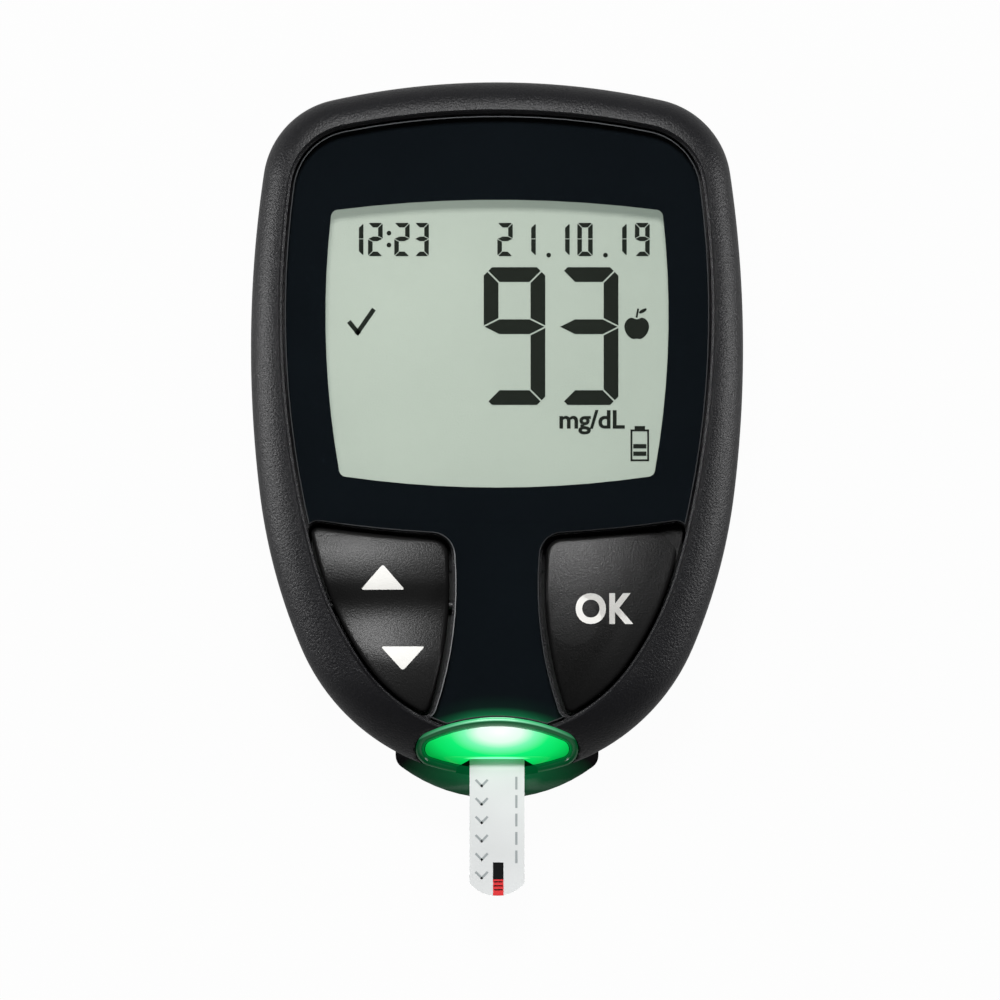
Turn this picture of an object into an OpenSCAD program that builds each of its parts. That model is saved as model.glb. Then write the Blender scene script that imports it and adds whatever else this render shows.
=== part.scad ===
// Handheld blood glucose meter lying on its back, with a test strip in its port.
// X is to the right, Y to the top of the meter and Z out of the screen; z = 0 is the back.

/* [Housing] */
// Width of the housing
body_w = 56; // [54:0.5:59]
// Length of the front housing, from its top edge to its toe
body_l = 79.1; // [77:0.1:82]
// Length that the top edge and the toe take; the rest is that of the long sides
ends_l = 39.55; // [39.3:0.05:39.8]
// Height of the rim above the surface that the meter lies on
body_h = 17.6; // [17.2:0.1:19]
// Height of the rim above the seam between the rear and the front housing
seam_drop = 8.6; // [8.4:0.1:9]
// How far the chin under the strip port reaches past the toe
chin_proud = 2.5; // [1.5:0.1:3.5]
// Half-width of the chin
chin_half_w = 11.6; // [10:0.1:12.5]
// Radius of the chin's front edge
chin_r = 18.3; // [17:0.1:24]
// Radius of the housing's corners
corner_r = 10; // [9:0.1:11]
// Radius of the housing's long sides, which follows the length that they have
side_r = 135; // [120:1:150]
// Angle that the top edge turns through on each side
top_turn = 12.5; // [11.5:0.1:13.5]
// Angle that a corner turns through
corner_turn = 69; // [67:0.1:70]
// Angle that a long side turns through
side_turn = 15.5; // [14.5:0.1:17]
// Angle that the flank beside the buttons turns through
flank_turn = 16; // [14:0.1:18]
// Wall of both housings
wall = 1.8; // [1.4:0.1:2]
// Rounding of the rim's outer edge
rim_r = 3.3; // [2.6:0.1:3.6]
// Rounding of the back's edge
back_r = 6; // [5:0.1:6.4]
// Radius at which the nose falls away to the port
nose_r = 14; // [13:0.1:16]
// How far the nose has fallen where it meets the toe
nose_drop = 6.4; // [5.8:0.1:6.8]

/* [Lens recess] */
// Width of the rim beside the lens
rim_side = 3.5; // [3.2:0.1:3.8]
// Width of the rim above the lens
rim_top = 3.5; // [3.2:0.1:4]
// Width of the rim at the toe
rim_toe = 4.85; // [4.5:0.05:5.2]
// Radius of the recess's corners
recess_corner_r = 7.6; // [7:0.1:8.2]
// Radius of the recess's long sides
recess_side_r = 108; // [100:1:120]
// Width of the slope that leads from the rim down to the lens
slope_w = 0.8; // [0.5:0.1:1]
// How far the lens lies below the rim
lens_drop = 1.1; // [0.9:0.1:1.3]
// Thickness of the lens
lens_t = 1.2; // [1:0.1:1.3]
// Clearance round the lens
lens_gap = 0.4; // [0.3:0.05:0.5]
// Thickness of the printed film and of the adhesive under the lens
film_t = 0.15; // [0.1:0.05:0.2]
// Thickness of the housing's plate under the lens
plate_t = 1.25; // [1:0.05:1.4]

/* [Display] */
// Half-width of the window
window_half_w = 19.5; // [18.5:0.1:20]
// Distance from the housing's top edge to the upper end of the window
window_top_gap = 13.4; // [12.8:0.1:14.3]
// Distance from the toe to the lower end of the window
window_foot_gap = 33; // [32.3:0.1:34.3]
// Radius of the window's corners
window_corner_r = 0.8; // [0.6:0.1:1.5]
// Radius of the window's upper edge
window_top_r = 145; // [130:1:170]
// Radius of the window's long edges
window_side_r = 101; // [90:1:120]
// Radius of the window's lower edge
window_foot_r = 121; // [105:1:140]
// Thickness of each glass of the display
glass_t = 0.8; // [0.6:0.05:0.9]
// How far each glass reaches past the window
glass_margin = 1.4; // [1.2:0.1:1.5]
// Depth of the contact ledge of the front glass
ledge_l = 1.8; // [1.5:0.1:2]

/* [Buttons] */
// Distance from the toe to the lowest point of the buttons' upper edge, on the centre line
button_top_gap = 27; // [26.5:0.1:27.3]
// Radius of that edge
button_top_r = 135; // [120:1:150]
// Half-width of the neck between the buttons where it is narrowest
neck_half_w = 5.4; // [5.2:0.1:6]
// Radius of the buttons' edge along the neck
neck_r = 43.4; // [40:0.1:48]
// Distance from the toe to where the neck is narrowest
neck_gap = 21.9; // [20.8:0.1:22.8]
// Corner of a button at the neck
button_neck_corner_r = 1.9; // [1.4:0.1:2.2]
// Other corners of a button
button_corner_r = 0.8; // [0.6:0.1:1.1]
// Gap round a button
button_gap = 0.4; // [0.35:0.05:0.5]
// Gap between the lens and a button
lens_button_gap = 0.68; // [0.6:0.02:0.8]
// How far a button's face lies below the rim
button_drop = 1.2; // [1:0.1:1.4]
// Thickness of a button's cap
cap_t = 2; // [1.8:0.1:2.1]
// Travel of the OK button
ok_travel = 0.45; // [0.3:0.05:0.45]
// Distance from the toe to the rocker's pivot pin
pivot_gap = 19.6; // [19.1:0.1:20.1]
// Diameter of the pivot pin
pivot_d = 1; // [0.8:0.05:1.1]
// Depth of the finger dishes
dish_depth = 0.35; // [0.25:0.05:0.4]
// Radius of the finger dishes
dish_r = 29; // [25:1:40]

/* [Strip port] */
// Length of the port's outline, from its highest point to the toe
port_l = 6.8; // [6.4:0.1:7]
// Radius of the port's upper edge
port_r = 19.4; // [18.5:0.1:21]
// Radius of the port's corners
port_corner_r = 2; // [1.8:0.1:2.3]
// Width of the ring round the lit face
ring_w = 0.95; // [0.8:0.05:1.1]
// Distance from the toe to the lip over the strip
lip_gap = 2.1; // [1.8:0.1:2.4]
// Half-width of the mouth under the lip
mouth_half_w = 4.6; // [4.2:0.1:5]
// Radius of the scoop in the lit face
scoop_r = 7; // [5:0.5:12]
// How far the lit face lies below the rim, at its upper edge and over the lip
face_drop = [2, 5.4]; // [1.6:0.1:6.6]

/* [Test strip] */
// Width of the strip
strip_w = 6.25; // [5.5:0.05:6.5]
// Length of the strip that shows in front of the lip
strip_reach = 15.65; // [12:0.05:18]
// Length of the strip inside the port
strip_inside = 9; // [7:0.1:10]
// Thickness of each of the strip's three layers
strip_layer_t = 0.14; // [0.12:0.01:0.15]
// How far the strip lies below the rim
strip_drop = 7.3; // [7.25:0.05:7.4]
// Radius of the strip's tip
strip_tip_r = 4.1; // [3.6:0.1:6]
// Width of the sample channel
channel_w = 1.2; // [1:0.1:1.4]
// Length of the sample channel
channel_l = 3.9; // [3:0.1:4.5]

/* [Circuit] */
// How far the underside of the main board lies below the rim
board_drop = 6.75; // [6.7:0.05:6.8]
// Thickness of the main board
board_t = 1; // [0.8:0.1:1]
// Gap between the board's edge and the housing's inner wall
board_gap = 0.7; // [0.4:0.1:1]
// Diameter of a case screw
screw_d = 1.7; // [1.6:0.1:2]
// Half the distance between the upper screws
screw_x = 17; // [16:0.1:17.5]
// Distance from the housing's top edge to the upper screws
screw_top_gap = 7.8; // [7.4:0.1:8]
// Distance from the toe to the lower screw, in the neck between the buttons
screw_foot_gap = 16.3; // [16.2:0.05:16.4]

/* [Batteries] */
// Diameter of a coin cell
cell_d = 20; // [19:0.1:20]
// Thickness of a coin cell
cell_t = 3.2; // [2.5:0.1:3.2]
// Clearance round a coin cell
cell_gap = 0.3; // [0.2:0.05:0.4]
// Distance from the housing's top edge to the centres of the cells
cell_top_gap = 26.6; // [25.8:0.1:26.8]
// Thickness of the battery cover
cover_t = 1.3; // [1.1:0.1:1.4]
// Clearance round the battery cover
cover_gap = 0.2; // [0.15:0.05:0.3]
// Length of the battery cover's end wall, which is the top end of the back
cover_end_l = 4.5; // [4:0.1:5]
// Width of the battery cover's tongues
tongue_w = 1; // [0.8:0.1:1.2]

/* [Hidden] */
$fn = 96;
eps = 0.01;

// Outline of a shield shape: five arcs down its right side, each smooth with the next.
// An arc is [centre, radius, start, end], with its angles clockwise from +Y.
function dir(a) = [sin(a), cos(a)];
function unit(v) = v / norm(v);
function shield(w, l, top, r_corner, r_side, turns) =
    let (
        s1 = turns[0], s2 = s1 + turns[1], s3 = s2 + turns[2], s4 = s3 + turns[3],
        r_top = r_corner + (w / 2 - r_side - (r_corner - r_side) * sin(s2)) / sin(s1),
        across = -((r_top - r_corner) * sin(s1) + (r_corner - r_side) * sin(s2) + r_side * sin(s3)),
        along = r_top - l - (r_top - r_corner) * cos(s1) - (r_corner - r_side) * cos(s2) - r_side * cos(s3),
        det = sin(s4) * (cos(s4) - cos(s3)) - (sin(s4) - sin(s3)) * (cos(s4) + 1),
        r_flank = (sin(s4) * along - (cos(s4) + 1) * across) / det,
        r_toe = ((sin(s4) - sin(s3)) * along - (cos(s4) - cos(s3)) * across) / det,
        c1 = [0, top - r_top],
        c2 = c1 + (r_top - r_corner) * dir(s1),
        c3 = c2 + (r_corner - r_side) * dir(s2),
        c4 = c3 + (r_side - r_flank) * dir(s3),
        c5 = c4 + (r_flank - r_toe) * dir(s4)
    )
    [
        [c1, r_top, -s1, s1], [c2, r_corner, s1, s2], [c3, r_side, s2, s3],
        [c4, r_flank, s3, s4], [c5, r_toe, s4, 360 - s4]
    ];
function mirrored(arc) = [[-arc[0].x, arc[0].y], arc[1], 360 - arc[3], 360 - arc[2]];
function all_round(o) = concat(o, [for (i = [3:-1:1]) mirrored(o[i])]);

// Arcs are drawn with steps that stray at most this far from the true curve.
curve_error = 0.015;
function step(r) = 2 * acos(1 - curve_error / r);
function reversed(points) = [for (i = [len(points) - 1:-1:0]) points[i]];
function ring(o, inset = 0) = reversed([
    for (a = all_round(o), n = ceil((a[3] - a[2]) / step(a[1])), k = [0:n - 1])
        a[0] + (a[1] - inset) * dir(a[2] + (a[3] - a[2]) * k / n)
]);

// The inside of an outline, moved inwards by inset.
module region(o, inset = 0) { polygon(ring(o, inset)); }

// A solid skinned over copies of an outline: each level is [inset, height], from the lowest up.
module skin(o, levels) {
    n = len(ring(o));
    top = len(levels) - 1;
    polyhedron(
        points = [for (l = levels, p = ring(o, l[0])) [p.x, p.y, l[1]]],
        faces = concat(
            [[for (i = [0:n - 1]) i]],
            [[for (i = [n - 1:-1:0]) top * n + i]],
            [for (j = [0:top - 1], i = [0:n - 1])
                [j * n + i, (j + 1) * n + i, (j + 1) * n + (i + 1) % n, j * n + (i + 1) % n]]
        )
    );
}

// A plate bounded by arcs. An edge is [centre, radius, side], where side is 1 inside the disc and -1
// outside it. Corner i joins edge i to the next: [near, radius], or [] where the two are smooth.
function meet(c0, r0, c1, r1, near) =
    let (
        v = c1 - c0, d = norm(v), a = (d * d + r0 * r0 - r1 * r1) / (2 * d), h = sqrt(r0 * r0 - a * a),
        m = c0 + v * a / d, n = [-v.y, v.x] / d, p = m + n * h, q = m - n * h
    )
    norm(p - near) < norm(q - near) ? p : q;
function corner_centre(e, f, corner) =
    meet(e[0], e[1] - e[2] * corner[1], f[0], f[1] - f[2] * corner[1], corner[0]);
function joint_point(e, f, on, corner, inset) =
    len(corner) == 0
        ? e[0] + (e[1] - inset) * unit((f[0] - e[0]) * sign(e[1] - f[1]))
        : on[0] + (on[1] - on[2] * inset) * unit(corner_centre(e, f, corner) - on[0]);
function positive(a) = ((a % 360) + 360) % 360;
// Points along an arc from p up to q, clockwise round c where turn is 1 and anticlockwise where it is -1.
function arc_points(c, r, p, q, turn) =
    let (
        start = atan2(p.y - c.y, p.x - c.x),
        sweep = positive(turn * (start - atan2(q.y - c.y, q.x - c.x))),
        n = max(1, ceil(sweep / step(r)))
    )
    [for (k = [0:n - 1]) c + r * [cos(start - turn * sweep * k / n), sin(start - turn * sweep * k / n)]];
function plate_points(edges, corners, inset) =
    let (
        n = len(edges),
        leave = [for (i = [0:n - 1]) joint_point(edges[i], edges[(i + 1) % n], edges[i], corners[i], inset)],
        enter = [for (i = [0:n - 1])
            joint_point(edges[i], edges[(i + 1) % n], edges[(i + 1) % n], corners[i], inset)]
    )
    reversed([for (i = [0:n - 1], e = [edges[i]], before = [(i + n - 1) % n]) each concat(
        arc_points(e[0], e[1] - e[2] * inset, enter[before], leave[i], e[2]),
        len(corners[i]) == 0 ? [] : arc_points(corner_centre(e, edges[(i + 1) % n], corners[i]),
            corners[i][1] - inset, leave[i], enter[i], 1)
    )]);
module arc_plate(edges, corners, inset = 0) { polygon(plate_points(edges, corners, inset)); }

// Levels of a body whose upper edge is rounded, h high and moved inwards by inset.
round_steps = 7;
function pillow(h, r, inset = 0) = concat(
    [[inset, 0]],
    [for (k = [0:round_steps]) let (a = 90 * k / round_steps)
        [r - (r - inset) * cos(a), h - r + (r - inset) * sin(a)]]
);

top_y = (body_l + chin_proud) / 2;
toe_y = top_y - body_l;
stretch = (body_l - ends_l) / ends_l;

// Places along Y, each kept at its distance from the top edge or from the toe
window_top_y = top_y - window_top_gap;
screw_top_y = top_y - screw_top_gap;
cell_y = top_y - cell_top_gap;
window_foot_y = toe_y + window_foot_gap;
radio_y = toe_y + 30.3;
chip_y = radio_y + 16;
button_top_y = toe_y + button_top_gap;
buzzer_y = toe_y + 23.7;
up_y = toe_y + 22.8;
neck_y = toe_y + neck_gap;
pivot_y = toe_y + pivot_gap;
ok_y = toe_y + 19.3;
screw_foot_y = toe_y + screw_foot_gap;
down_y = toe_y + 13.6;
port_top_y = toe_y + port_l;
lip_y = toe_y + lip_gap;

// Heights, each kept at its depth below the rim
face_z = [body_h - face_drop[0], body_h - face_drop[1]];
board_z = body_h - board_drop;
strip_z = body_h - strip_drop;
seam_z = body_h - seam_drop;

housing = shield(body_w, body_l, top_y, corner_r, side_r * stretch, [top_turn, corner_turn, side_turn, flank_turn]);
recess_top_turn = 11.5;
recess_corner_turn = 70.7;
recess_side_turn = 23;
recess_flank_turn = 20.5;
recess = shield(body_w - 2 * rim_side, body_l - rim_top - rim_toe, top_y - rim_top, recess_corner_r,
    recess_side_r * stretch, [recess_top_turn, recess_corner_turn, recess_side_turn, recess_flank_turn]);
toe = housing[4];

lens_z = body_h - lens_drop;
print_z = lens_z - lens_t - film_t;
plate_top = print_z - film_t;
plate_z = plate_top - plate_t;
board_top = board_z + board_t;
button_z = body_h - button_drop;
cap_z = button_z - cap_t;

// Outlines drawn for the right-hand side.
button_edges = [
    [[0, button_top_y + button_top_r], button_top_r, -1],
    [recess[2][0], recess[2][1] - button_gap, 1],
    [recess[3][0], recess[3][1] - button_gap, 1],
    [recess[4][0], recess[4][1] - button_gap, 1],
    [[neck_half_w + neck_r, neck_y], neck_r, 1]
];
button_corners = [
    [[body_w / 2, button_top_y + 2], button_corner_r], [], [],
    [[neck_half_w, toe_y], button_corner_r],
    [[neck_half_w, button_top_y], button_neck_corner_r]
];
port_edges = [[[0, port_top_y - port_r], port_r, 1], [toe[0], toe[1], 1]];
port_corners = [[[port_r, port_top_y], port_corner_r], [[-port_r, port_top_y], port_corner_r]];
window_edges = [
    [[0, window_top_y - window_top_r], window_top_r, 1],
    [[window_half_w - window_side_r, (window_top_y + window_foot_y) / 2 + 3.2], window_side_r, 1],
    [[0, window_foot_y + window_foot_r], window_foot_r, 1],
    [[window_side_r - window_half_w, (window_top_y + window_foot_y) / 2 + 3.2], window_side_r, 1]
];
window_corners = [
    for (s = [[1, window_top_y], [1, window_foot_y], [-1, window_foot_y], [-1, window_top_y]])
        [[s[0] * window_half_w, s[1]], window_corner_r]
];

module button_shape(inset = 0) { arc_plate(button_edges, button_corners, inset); }
module port_shape(inset = 0) { arc_plate(port_edges, port_corners, inset); }
module both_sides() {
    children();
    mirror([1, 0, 0]) children();
}

// Solid between two heights.
module slab(z0, z1) { translate([0, 0, z0]) linear_extrude(z1 - z0) children(); }
module box(x0, x1, y0, y1, z0, z1) { translate([x0, y0, z0]) cube([x1 - x0, y1 - y0, z1 - z0]); }
module post(x, y, d, z0, z1) { translate([x, y, z0]) cylinder(h = z1 - z0, d = d); }

// Everything beyond the curve by which the nose falls to the port.
nose_y = toe_y + sqrt(pow(nose_r, 2) - pow(nose_r - nose_drop, 2));
nose_z = body_h - nose_r;
module beyond_nose(r) {
    translate([-body_w, 0, 0]) rotate([90, 0, 90]) linear_extrude(2 * body_w) difference() {
        translate([nose_y - 2 * nose_r, nose_z]) square([2 * nose_r, 2 * nose_r]);
        translate([nose_y, nose_z]) circle(r);
    }
}

// Housings
sill_t = 0.8;
screws = [[-screw_x, screw_top_y], [screw_x, screw_top_y], [0, screw_foot_y]];
boss_d = screw_d + 2.6;
pivot_z = plate_z - pivot_d / 2 - 0.1;
glass_half_w = window_half_w + glass_margin;
glass_top_y = window_top_y + glass_margin + 0.6;
glass_foot_y = window_foot_y - 0.6;
ledge_foot_y = glass_foot_y - ledge_l;

module front_housing() {
    color("#1b1b1d") difference() {
        union() {
            difference() {
                translate([0, 0, seam_z]) skin(housing, pillow(body_h - seam_z, rim_r));
                slab(seam_z - 1, plate_z) region(housing, wall);
            }
            for (s = screws) post(s.x, s.y, boss_d, board_top, plate_z + eps);
            for (x = [-neck_half_w + 0.6, -recess_half_w(pivot_y) - 2])
                box(x, x + 1.6, pivot_y - pivot_d, pivot_y + pivot_d, pivot_z - pivot_d, plate_z + eps);
        }
        slab(plate_top, body_h + 1) region(recess);
        skin(recess, [[0.3, lens_z - 0.6], [0, lens_z - 0.3], [-slope_w, body_h + eps], [-slope_w, body_h + 1]]);
        slab(plate_z - 1, body_h) both_sides() button_shape(-button_gap);
        box(-glass_half_w - 0.3, glass_half_w + 0.3, ledge_foot_y - 0.3, glass_top_y + 0.3, plate_z - 1, body_h);
        slab(seam_z + sill_t, body_h + 1) port_shape(-0.1);
        beyond_nose(nose_r);
        box(-strip_w / 2 - 1, strip_w / 2 + 1, toe_y - 1, port_top_y + 1.5, seam_z + sill_t, plate_z - 1);
        for (s = screws) post(s.x, s.y, screw_d - 0.3, board_top - 1, plate_z - 0.3);
        translate([-body_w / 2, pivot_y, pivot_z]) rotate([0, 90, 0]) cylinder(h = body_w / 2, d = pivot_d + 0.06);
    }
}
// Half-width of the recess at a height y on its flank.
function recess_half_w(y) = recess[3][0].x + sqrt(pow(recess[3][1], 2) - pow(y - recess[3][0].y, 2));

module back_solid(inset = 0) { translate([0, 0, seam_z]) mirror([0, 0, 1]) skin(housing, pillow(seam_z, back_r, inset)); }
// The chin swells out of the rear housing under the port, rounded underneath.
chin_lip_r = 1.2;
chin_foot_z = 0.9;
chin_top_z = seam_z - 0.2;
chin_bulge_r = 5 / 7.9 * (chin_top_z - chin_foot_z);
module chin() {
    chin_side_r = 400;
    front_y = toe_y - chin_proud;
    side = [[chin_half_w - chin_side_r, toe[0].y - 18], chin_side_r, 1];
    intersection() {
        slab(chin_foot_z, chin_top_z) arc_plate([
                [[0, toe[0].y - 60], 60, 1],
                side,
                [[0, front_y + chin_r], chin_r, 1],
                [[-side[0].x, side[0].y], chin_side_r, 1]
            ], [for (s = [[1, 0], [1, -60], [-1, -60], [-1, 0]])
                [[s[0] * chin_half_w, toe[0].y + s[1]], 1.6]]);
        translate([-body_w / 2, 0, 0]) rotate([90, 0, 90]) linear_extrude(body_w) polygon(concat(
            [[toe[0].y, 0], [toe[0].y, chin_top_z]],
            [for (k = [0:8]) let (a = 90 + 90 * k / 8)
                [front_y + chin_lip_r * (1 + cos(a)), chin_top_z - chin_lip_r * (1 - sin(a))]],
            [for (k = [0:10]) let (a = 180 + 9 * k)
                [front_y + chin_bulge_r * (1 + cos(a)), chin_foot_z + chin_bulge_r * (1 + sin(a))]]
        ));
    }
}

cover_half_w = cell_d + cell_gap + 1.4;
tongue_root = 0.8;
cover_foot_y = cell_y - cell_d / 2 - 1.2;
well_z = cover_t + 0.2 + cell_t + 0.35;
tray_t = 1;
cover_end_z = seam_z - 1.6;
tongue_z = cover_t;
tongue_t = 0.9;
tongue_top_y = screw_top_y + 2;

module cover_space(gap) {
    box(-cover_half_w - gap, cover_half_w + gap, cover_foot_y - gap, top_y + 1, -1, cover_t + gap);
    box(-cover_half_w - gap, cover_half_w + gap, top_y - cover_end_l - gap, top_y + 1, -1, cover_end_z + gap);
    for (s = [-1, 1])
        box(s * cover_half_w - (s > 0 ? tongue_root : tongue_w) - gap,
            s * cover_half_w + (s > 0 ? tongue_w : tongue_root) + gap,
            cover_foot_y - gap, (gap > 0 ? top_y + 1 : tongue_top_y), tongue_z - gap, tongue_z + tongue_t + gap);
}

module rear_housing() {
    floor_t = 1.5;
    color("#18181a") {
        difference() {
            union() {
                difference() {
                    union() {
                        back_solid(0);
                        chin();
                    }
                    slab(back_r - 1, seam_z + 1) region(housing, wall);
                    slab(floor_t, seam_z) region(housing, back_r - 2);
                }
                intersection() {
                    back_solid(0.5);
                    union() {
                        box(-cover_half_w - 3, cover_half_w + 3, cover_foot_y - 2, top_y, 0.5, well_z + tray_t);
                        box(-cover_half_w - 3, cover_half_w + 3, top_y - cover_end_l - 1.6, top_y, 0.5, cover_end_z + 1);
                    }
                }
                for (s = screws) post(s.x, s.y, boss_d, 0.8, board_z);
                box(-1, 1, glass_foot_y, glass_foot_y + 1.2, floor_t - eps, board_z);
            }
            cover_space(cover_gap);
            for (x = [-1, 1])
                post(x * (cell_d + 1.5) / 2, cell_y, cell_d + 2 * cell_gap, -1, well_z);
            box(-6, 6, cell_y - 5, cell_y + 5, -1, well_z);
            for (s = screws) {
                post(s.x, s.y, screw_d + 0.3, -1, board_z + 1);
                post(s.x, s.y, head_d + 0.4, -1, head_z);
            }
            for (x = [-1, 1]) contact_slots(x);
            // A row of sound holes over the buzzer
            for (i = [-1, 0, 1]) post(buzzer_x + 3 * i, buzzer_y, 1.2, -1, floor_t + 1);
        }
    }
}
head_d = 3;
head_t = 1.1;
head_z = 3.2;
screw_l = plate_z - head_z - 0.55;

module battery_cover() {
    color("#19191b") difference() {
        union() {
            intersection() {
                back_solid(0);
                union() {
                    box(-cover_half_w, cover_half_w, cover_foot_y, top_y + 1, -1, cover_t);
                    box(-cover_half_w, cover_half_w, top_y - cover_end_l, top_y + 1, -1, cover_end_z);
                }
            }
            for (s = [-1, 1])
                box(s * cover_half_w - (s > 0 ? tongue_root : tongue_w),
                    s * cover_half_w + (s > 0 ? tongue_w : tongue_root), cover_foot_y, tongue_top_y,
                    tongue_z, tongue_z + tongue_t);
        }
        // Hollow behind the end wall
        intersection() {
            back_solid(1.4);
            box(-cover_half_w + 1.4, cover_half_w - 1.4, top_y - cover_end_l - eps, top_y, cover_t, cover_end_z + 1);
        }
        // Thumb grip: a shallow dish with bars across it
        translate([0, cover_foot_y + 6, -24.4]) sphere(r = 25);
    }
    for (i = [-1:1])
        color("#19191b") box(-3.5, 3.5, cover_foot_y + 5.6 + 1.6 * i, cover_foot_y + 6.4 + 1.6 * i, 0, 0.7);
}

// Lens and display
module lens_shape(inset) {
    difference() {
        region(recess, inset);
        both_sides() button_shape(-lens_button_gap - inset + lens_gap);
        translate([0, port_top_y - port_r]) circle(port_r + 0.2 + inset - lens_gap);
    }
}
module window_shape(inset = 0) { arc_plate(window_edges, window_corners, inset); }

module front_lens() { color("#101214", 0.4) slab(lens_z - lens_t, lens_z) lens_shape(lens_gap); }
module lens_print() {
    color("#08090b") slab(print_z, print_z + film_t) difference() {
        lens_shape(lens_gap);
        window_shape();
    }
}
module lens_adhesive() {
    color("#202020") slab(plate_top, print_z) difference() {
        lens_shape(lens_gap + 0.3);
        translate([-glass_half_w - 0.6, ledge_foot_y - 0.6])
            square([2 * glass_half_w + 1.2, glass_top_y - ledge_foot_y + 1.2]);
    }
}

glass_z = plate_top - 0.2 - glass_t;
module lcd_front_glass() {
    color("#9db09e") box(-glass_half_w, glass_half_w, ledge_foot_y, glass_top_y, glass_z, glass_z + glass_t);
}
module lcd_rear_glass() {
    color("#8fa392") box(-glass_half_w, glass_half_w, glass_foot_y, glass_top_y, glass_z - glass_t, glass_z);
}
reflector_t = 0.2;
reflector_z = glass_z - glass_t - reflector_t;
module lcd_reflector() {
    color("#b9c6b5") box(-glass_half_w, glass_half_w, glass_foot_y, glass_top_y, reflector_z, reflector_z + reflector_t);
}
frame_wall = 1;
module lcd_frame() {
    color("#e8e8e4") difference() {
        box(-glass_half_w - 0.1 - frame_wall, glass_half_w + 0.1 + frame_wall, ledge_foot_y - 0.1 - frame_wall,
            glass_top_y + 0.1 + frame_wall, board_top, plate_z - 0.1);
        box(-glass_half_w - 0.1, glass_half_w + 0.1, ledge_foot_y - 0.1, glass_top_y + 0.1, reflector_z, plate_z);
        box(-glass_half_w + 1.5, glass_half_w - 1.5, glass_foot_y + 1.5, glass_top_y - 1.5, board_top - 1, plate_z);
        box(-glass_half_w + 2, glass_half_w - 2, ledge_foot_y, glass_foot_y - 0.3, board_top - 1, plate_z);
    }
}
module zebra_connector() {
    color("#c9b8a8") box(-glass_half_w + 2.2, glass_half_w - 2.2, ledge_foot_y + 0.15, glass_foot_y - 0.45,
        board_top, glass_z);
}

// Circuit
module main_board() {
    color("#1f6b3a") difference() {
        slab(board_z, board_top) difference() {
            region(housing, wall + board_gap);
            translate([0, port_top_y - port_r]) circle(port_r + 0.5);
        }
        for (s = screws) post(s.x, s.y, screw_d + 0.5, board_z - 1, board_top + 1);
    }
}
under = board_z;
module microcontroller() {
    color("#222222") translate([0, chip_y, 0]) {
        box(-5, 5, -5, 5, under - 1.4, under - 0.15);
        for (side = [0:90:270], i = [-5:5])
            rotate(side) translate([0.8 * i, 0, 0]) box(-0.15, 0.15, 4.9, 6, under - 0.6, under);
    }
}
module radio_module() { color("#b8bcc0") box(antenna_x + 5, antenna_x + 15, radio_y, radio_y + 6.4, under - 1.8, under); }
antenna_x = 6 - body_w / 2;
antenna_w = 4;
antenna_track = 0.6;
module radio_antenna() {
    color("#d9a441") translate([antenna_x, radio_y + 0.4]) {
        for (i = [0:3]) box(0, antenna_w, (i == 0 ? 0 : 1.6 * i - 0.4), (i == 0 ? 0 : 1.6 * i - 0.4) + antenna_track,
            under - 0.2, under);
        for (i = [0:2]) translate([i % 2 == 0 ? 0 : antenna_w - antenna_track, 0])
            box(0, antenna_track, 1.6 * i, 1.6 * i + 1.8, under - 0.2, under);
    }
}
module clock_crystal() { color("#c4c7ca") box(-2, 2, radio_y + 3.4, radio_y + 5.2, under - 1, under); }
module chip_parts() {
    color("#c8a877")
        for (i = [0:5], j = [0:1])
            box(4 + 2.2 * i, 5.2 + 2.2 * i, radio_y + 1.8 * j, radio_y + 0.6 + 1.8 * j, under - 0.6, under);
}
buzzer_x = 0;
module buzzer() {
    color("#2a2a2a") difference() {
        post(buzzer_x, buzzer_y, 10, under - 3, under);
        post(buzzer_x, buzzer_y, 1.5, under - 4, under - 2);
    }
}
module port_led() { color("#f4f4e8") box(-1.6, 1.6, port_top_y + 0.4, port_top_y + 1.6, board_top, board_top + 1); }

// Strip port
ring_gap = 0.1;
bezel_drop = 0.4;
mouth_z = strip_z - 0.4;
module mouth() {
    slab(mouth_z, body_h + 1) polygon([
        [-mouth_half_w, lip_y - 0.95], [-mouth_half_w - 0.4, lip_y - 4], [mouth_half_w + 0.4, lip_y - 4],
        [mouth_half_w, lip_y - 0.95], [strip_w / 2 - 0.2, lip_y], [-strip_w / 2 + 0.2, lip_y]
    ]);
}
module strip_slot(gap) {
    box(-strip_w / 2 - gap, strip_w / 2 + gap, toe_y - 3, port_top_y + 3, strip_z - gap,
        strip_z + 3 * strip_layer_t + gap);
}
module port_bezel() {
    color("#0c0d0e") difference() {
        slab(seam_z + sill_t, body_h) port_shape();
        slab(seam_z + sill_t + 0.5, body_h + 1) port_shape(ring_w);
        beyond_nose(nose_r - bezel_drop);
        box(-2.2, 2.2, port_top_y - 2, port_top_y + 1, board_top - 0.2, board_top + 1.4);
        strip_slot(0.3);
        mouth();
    }
}
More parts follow.
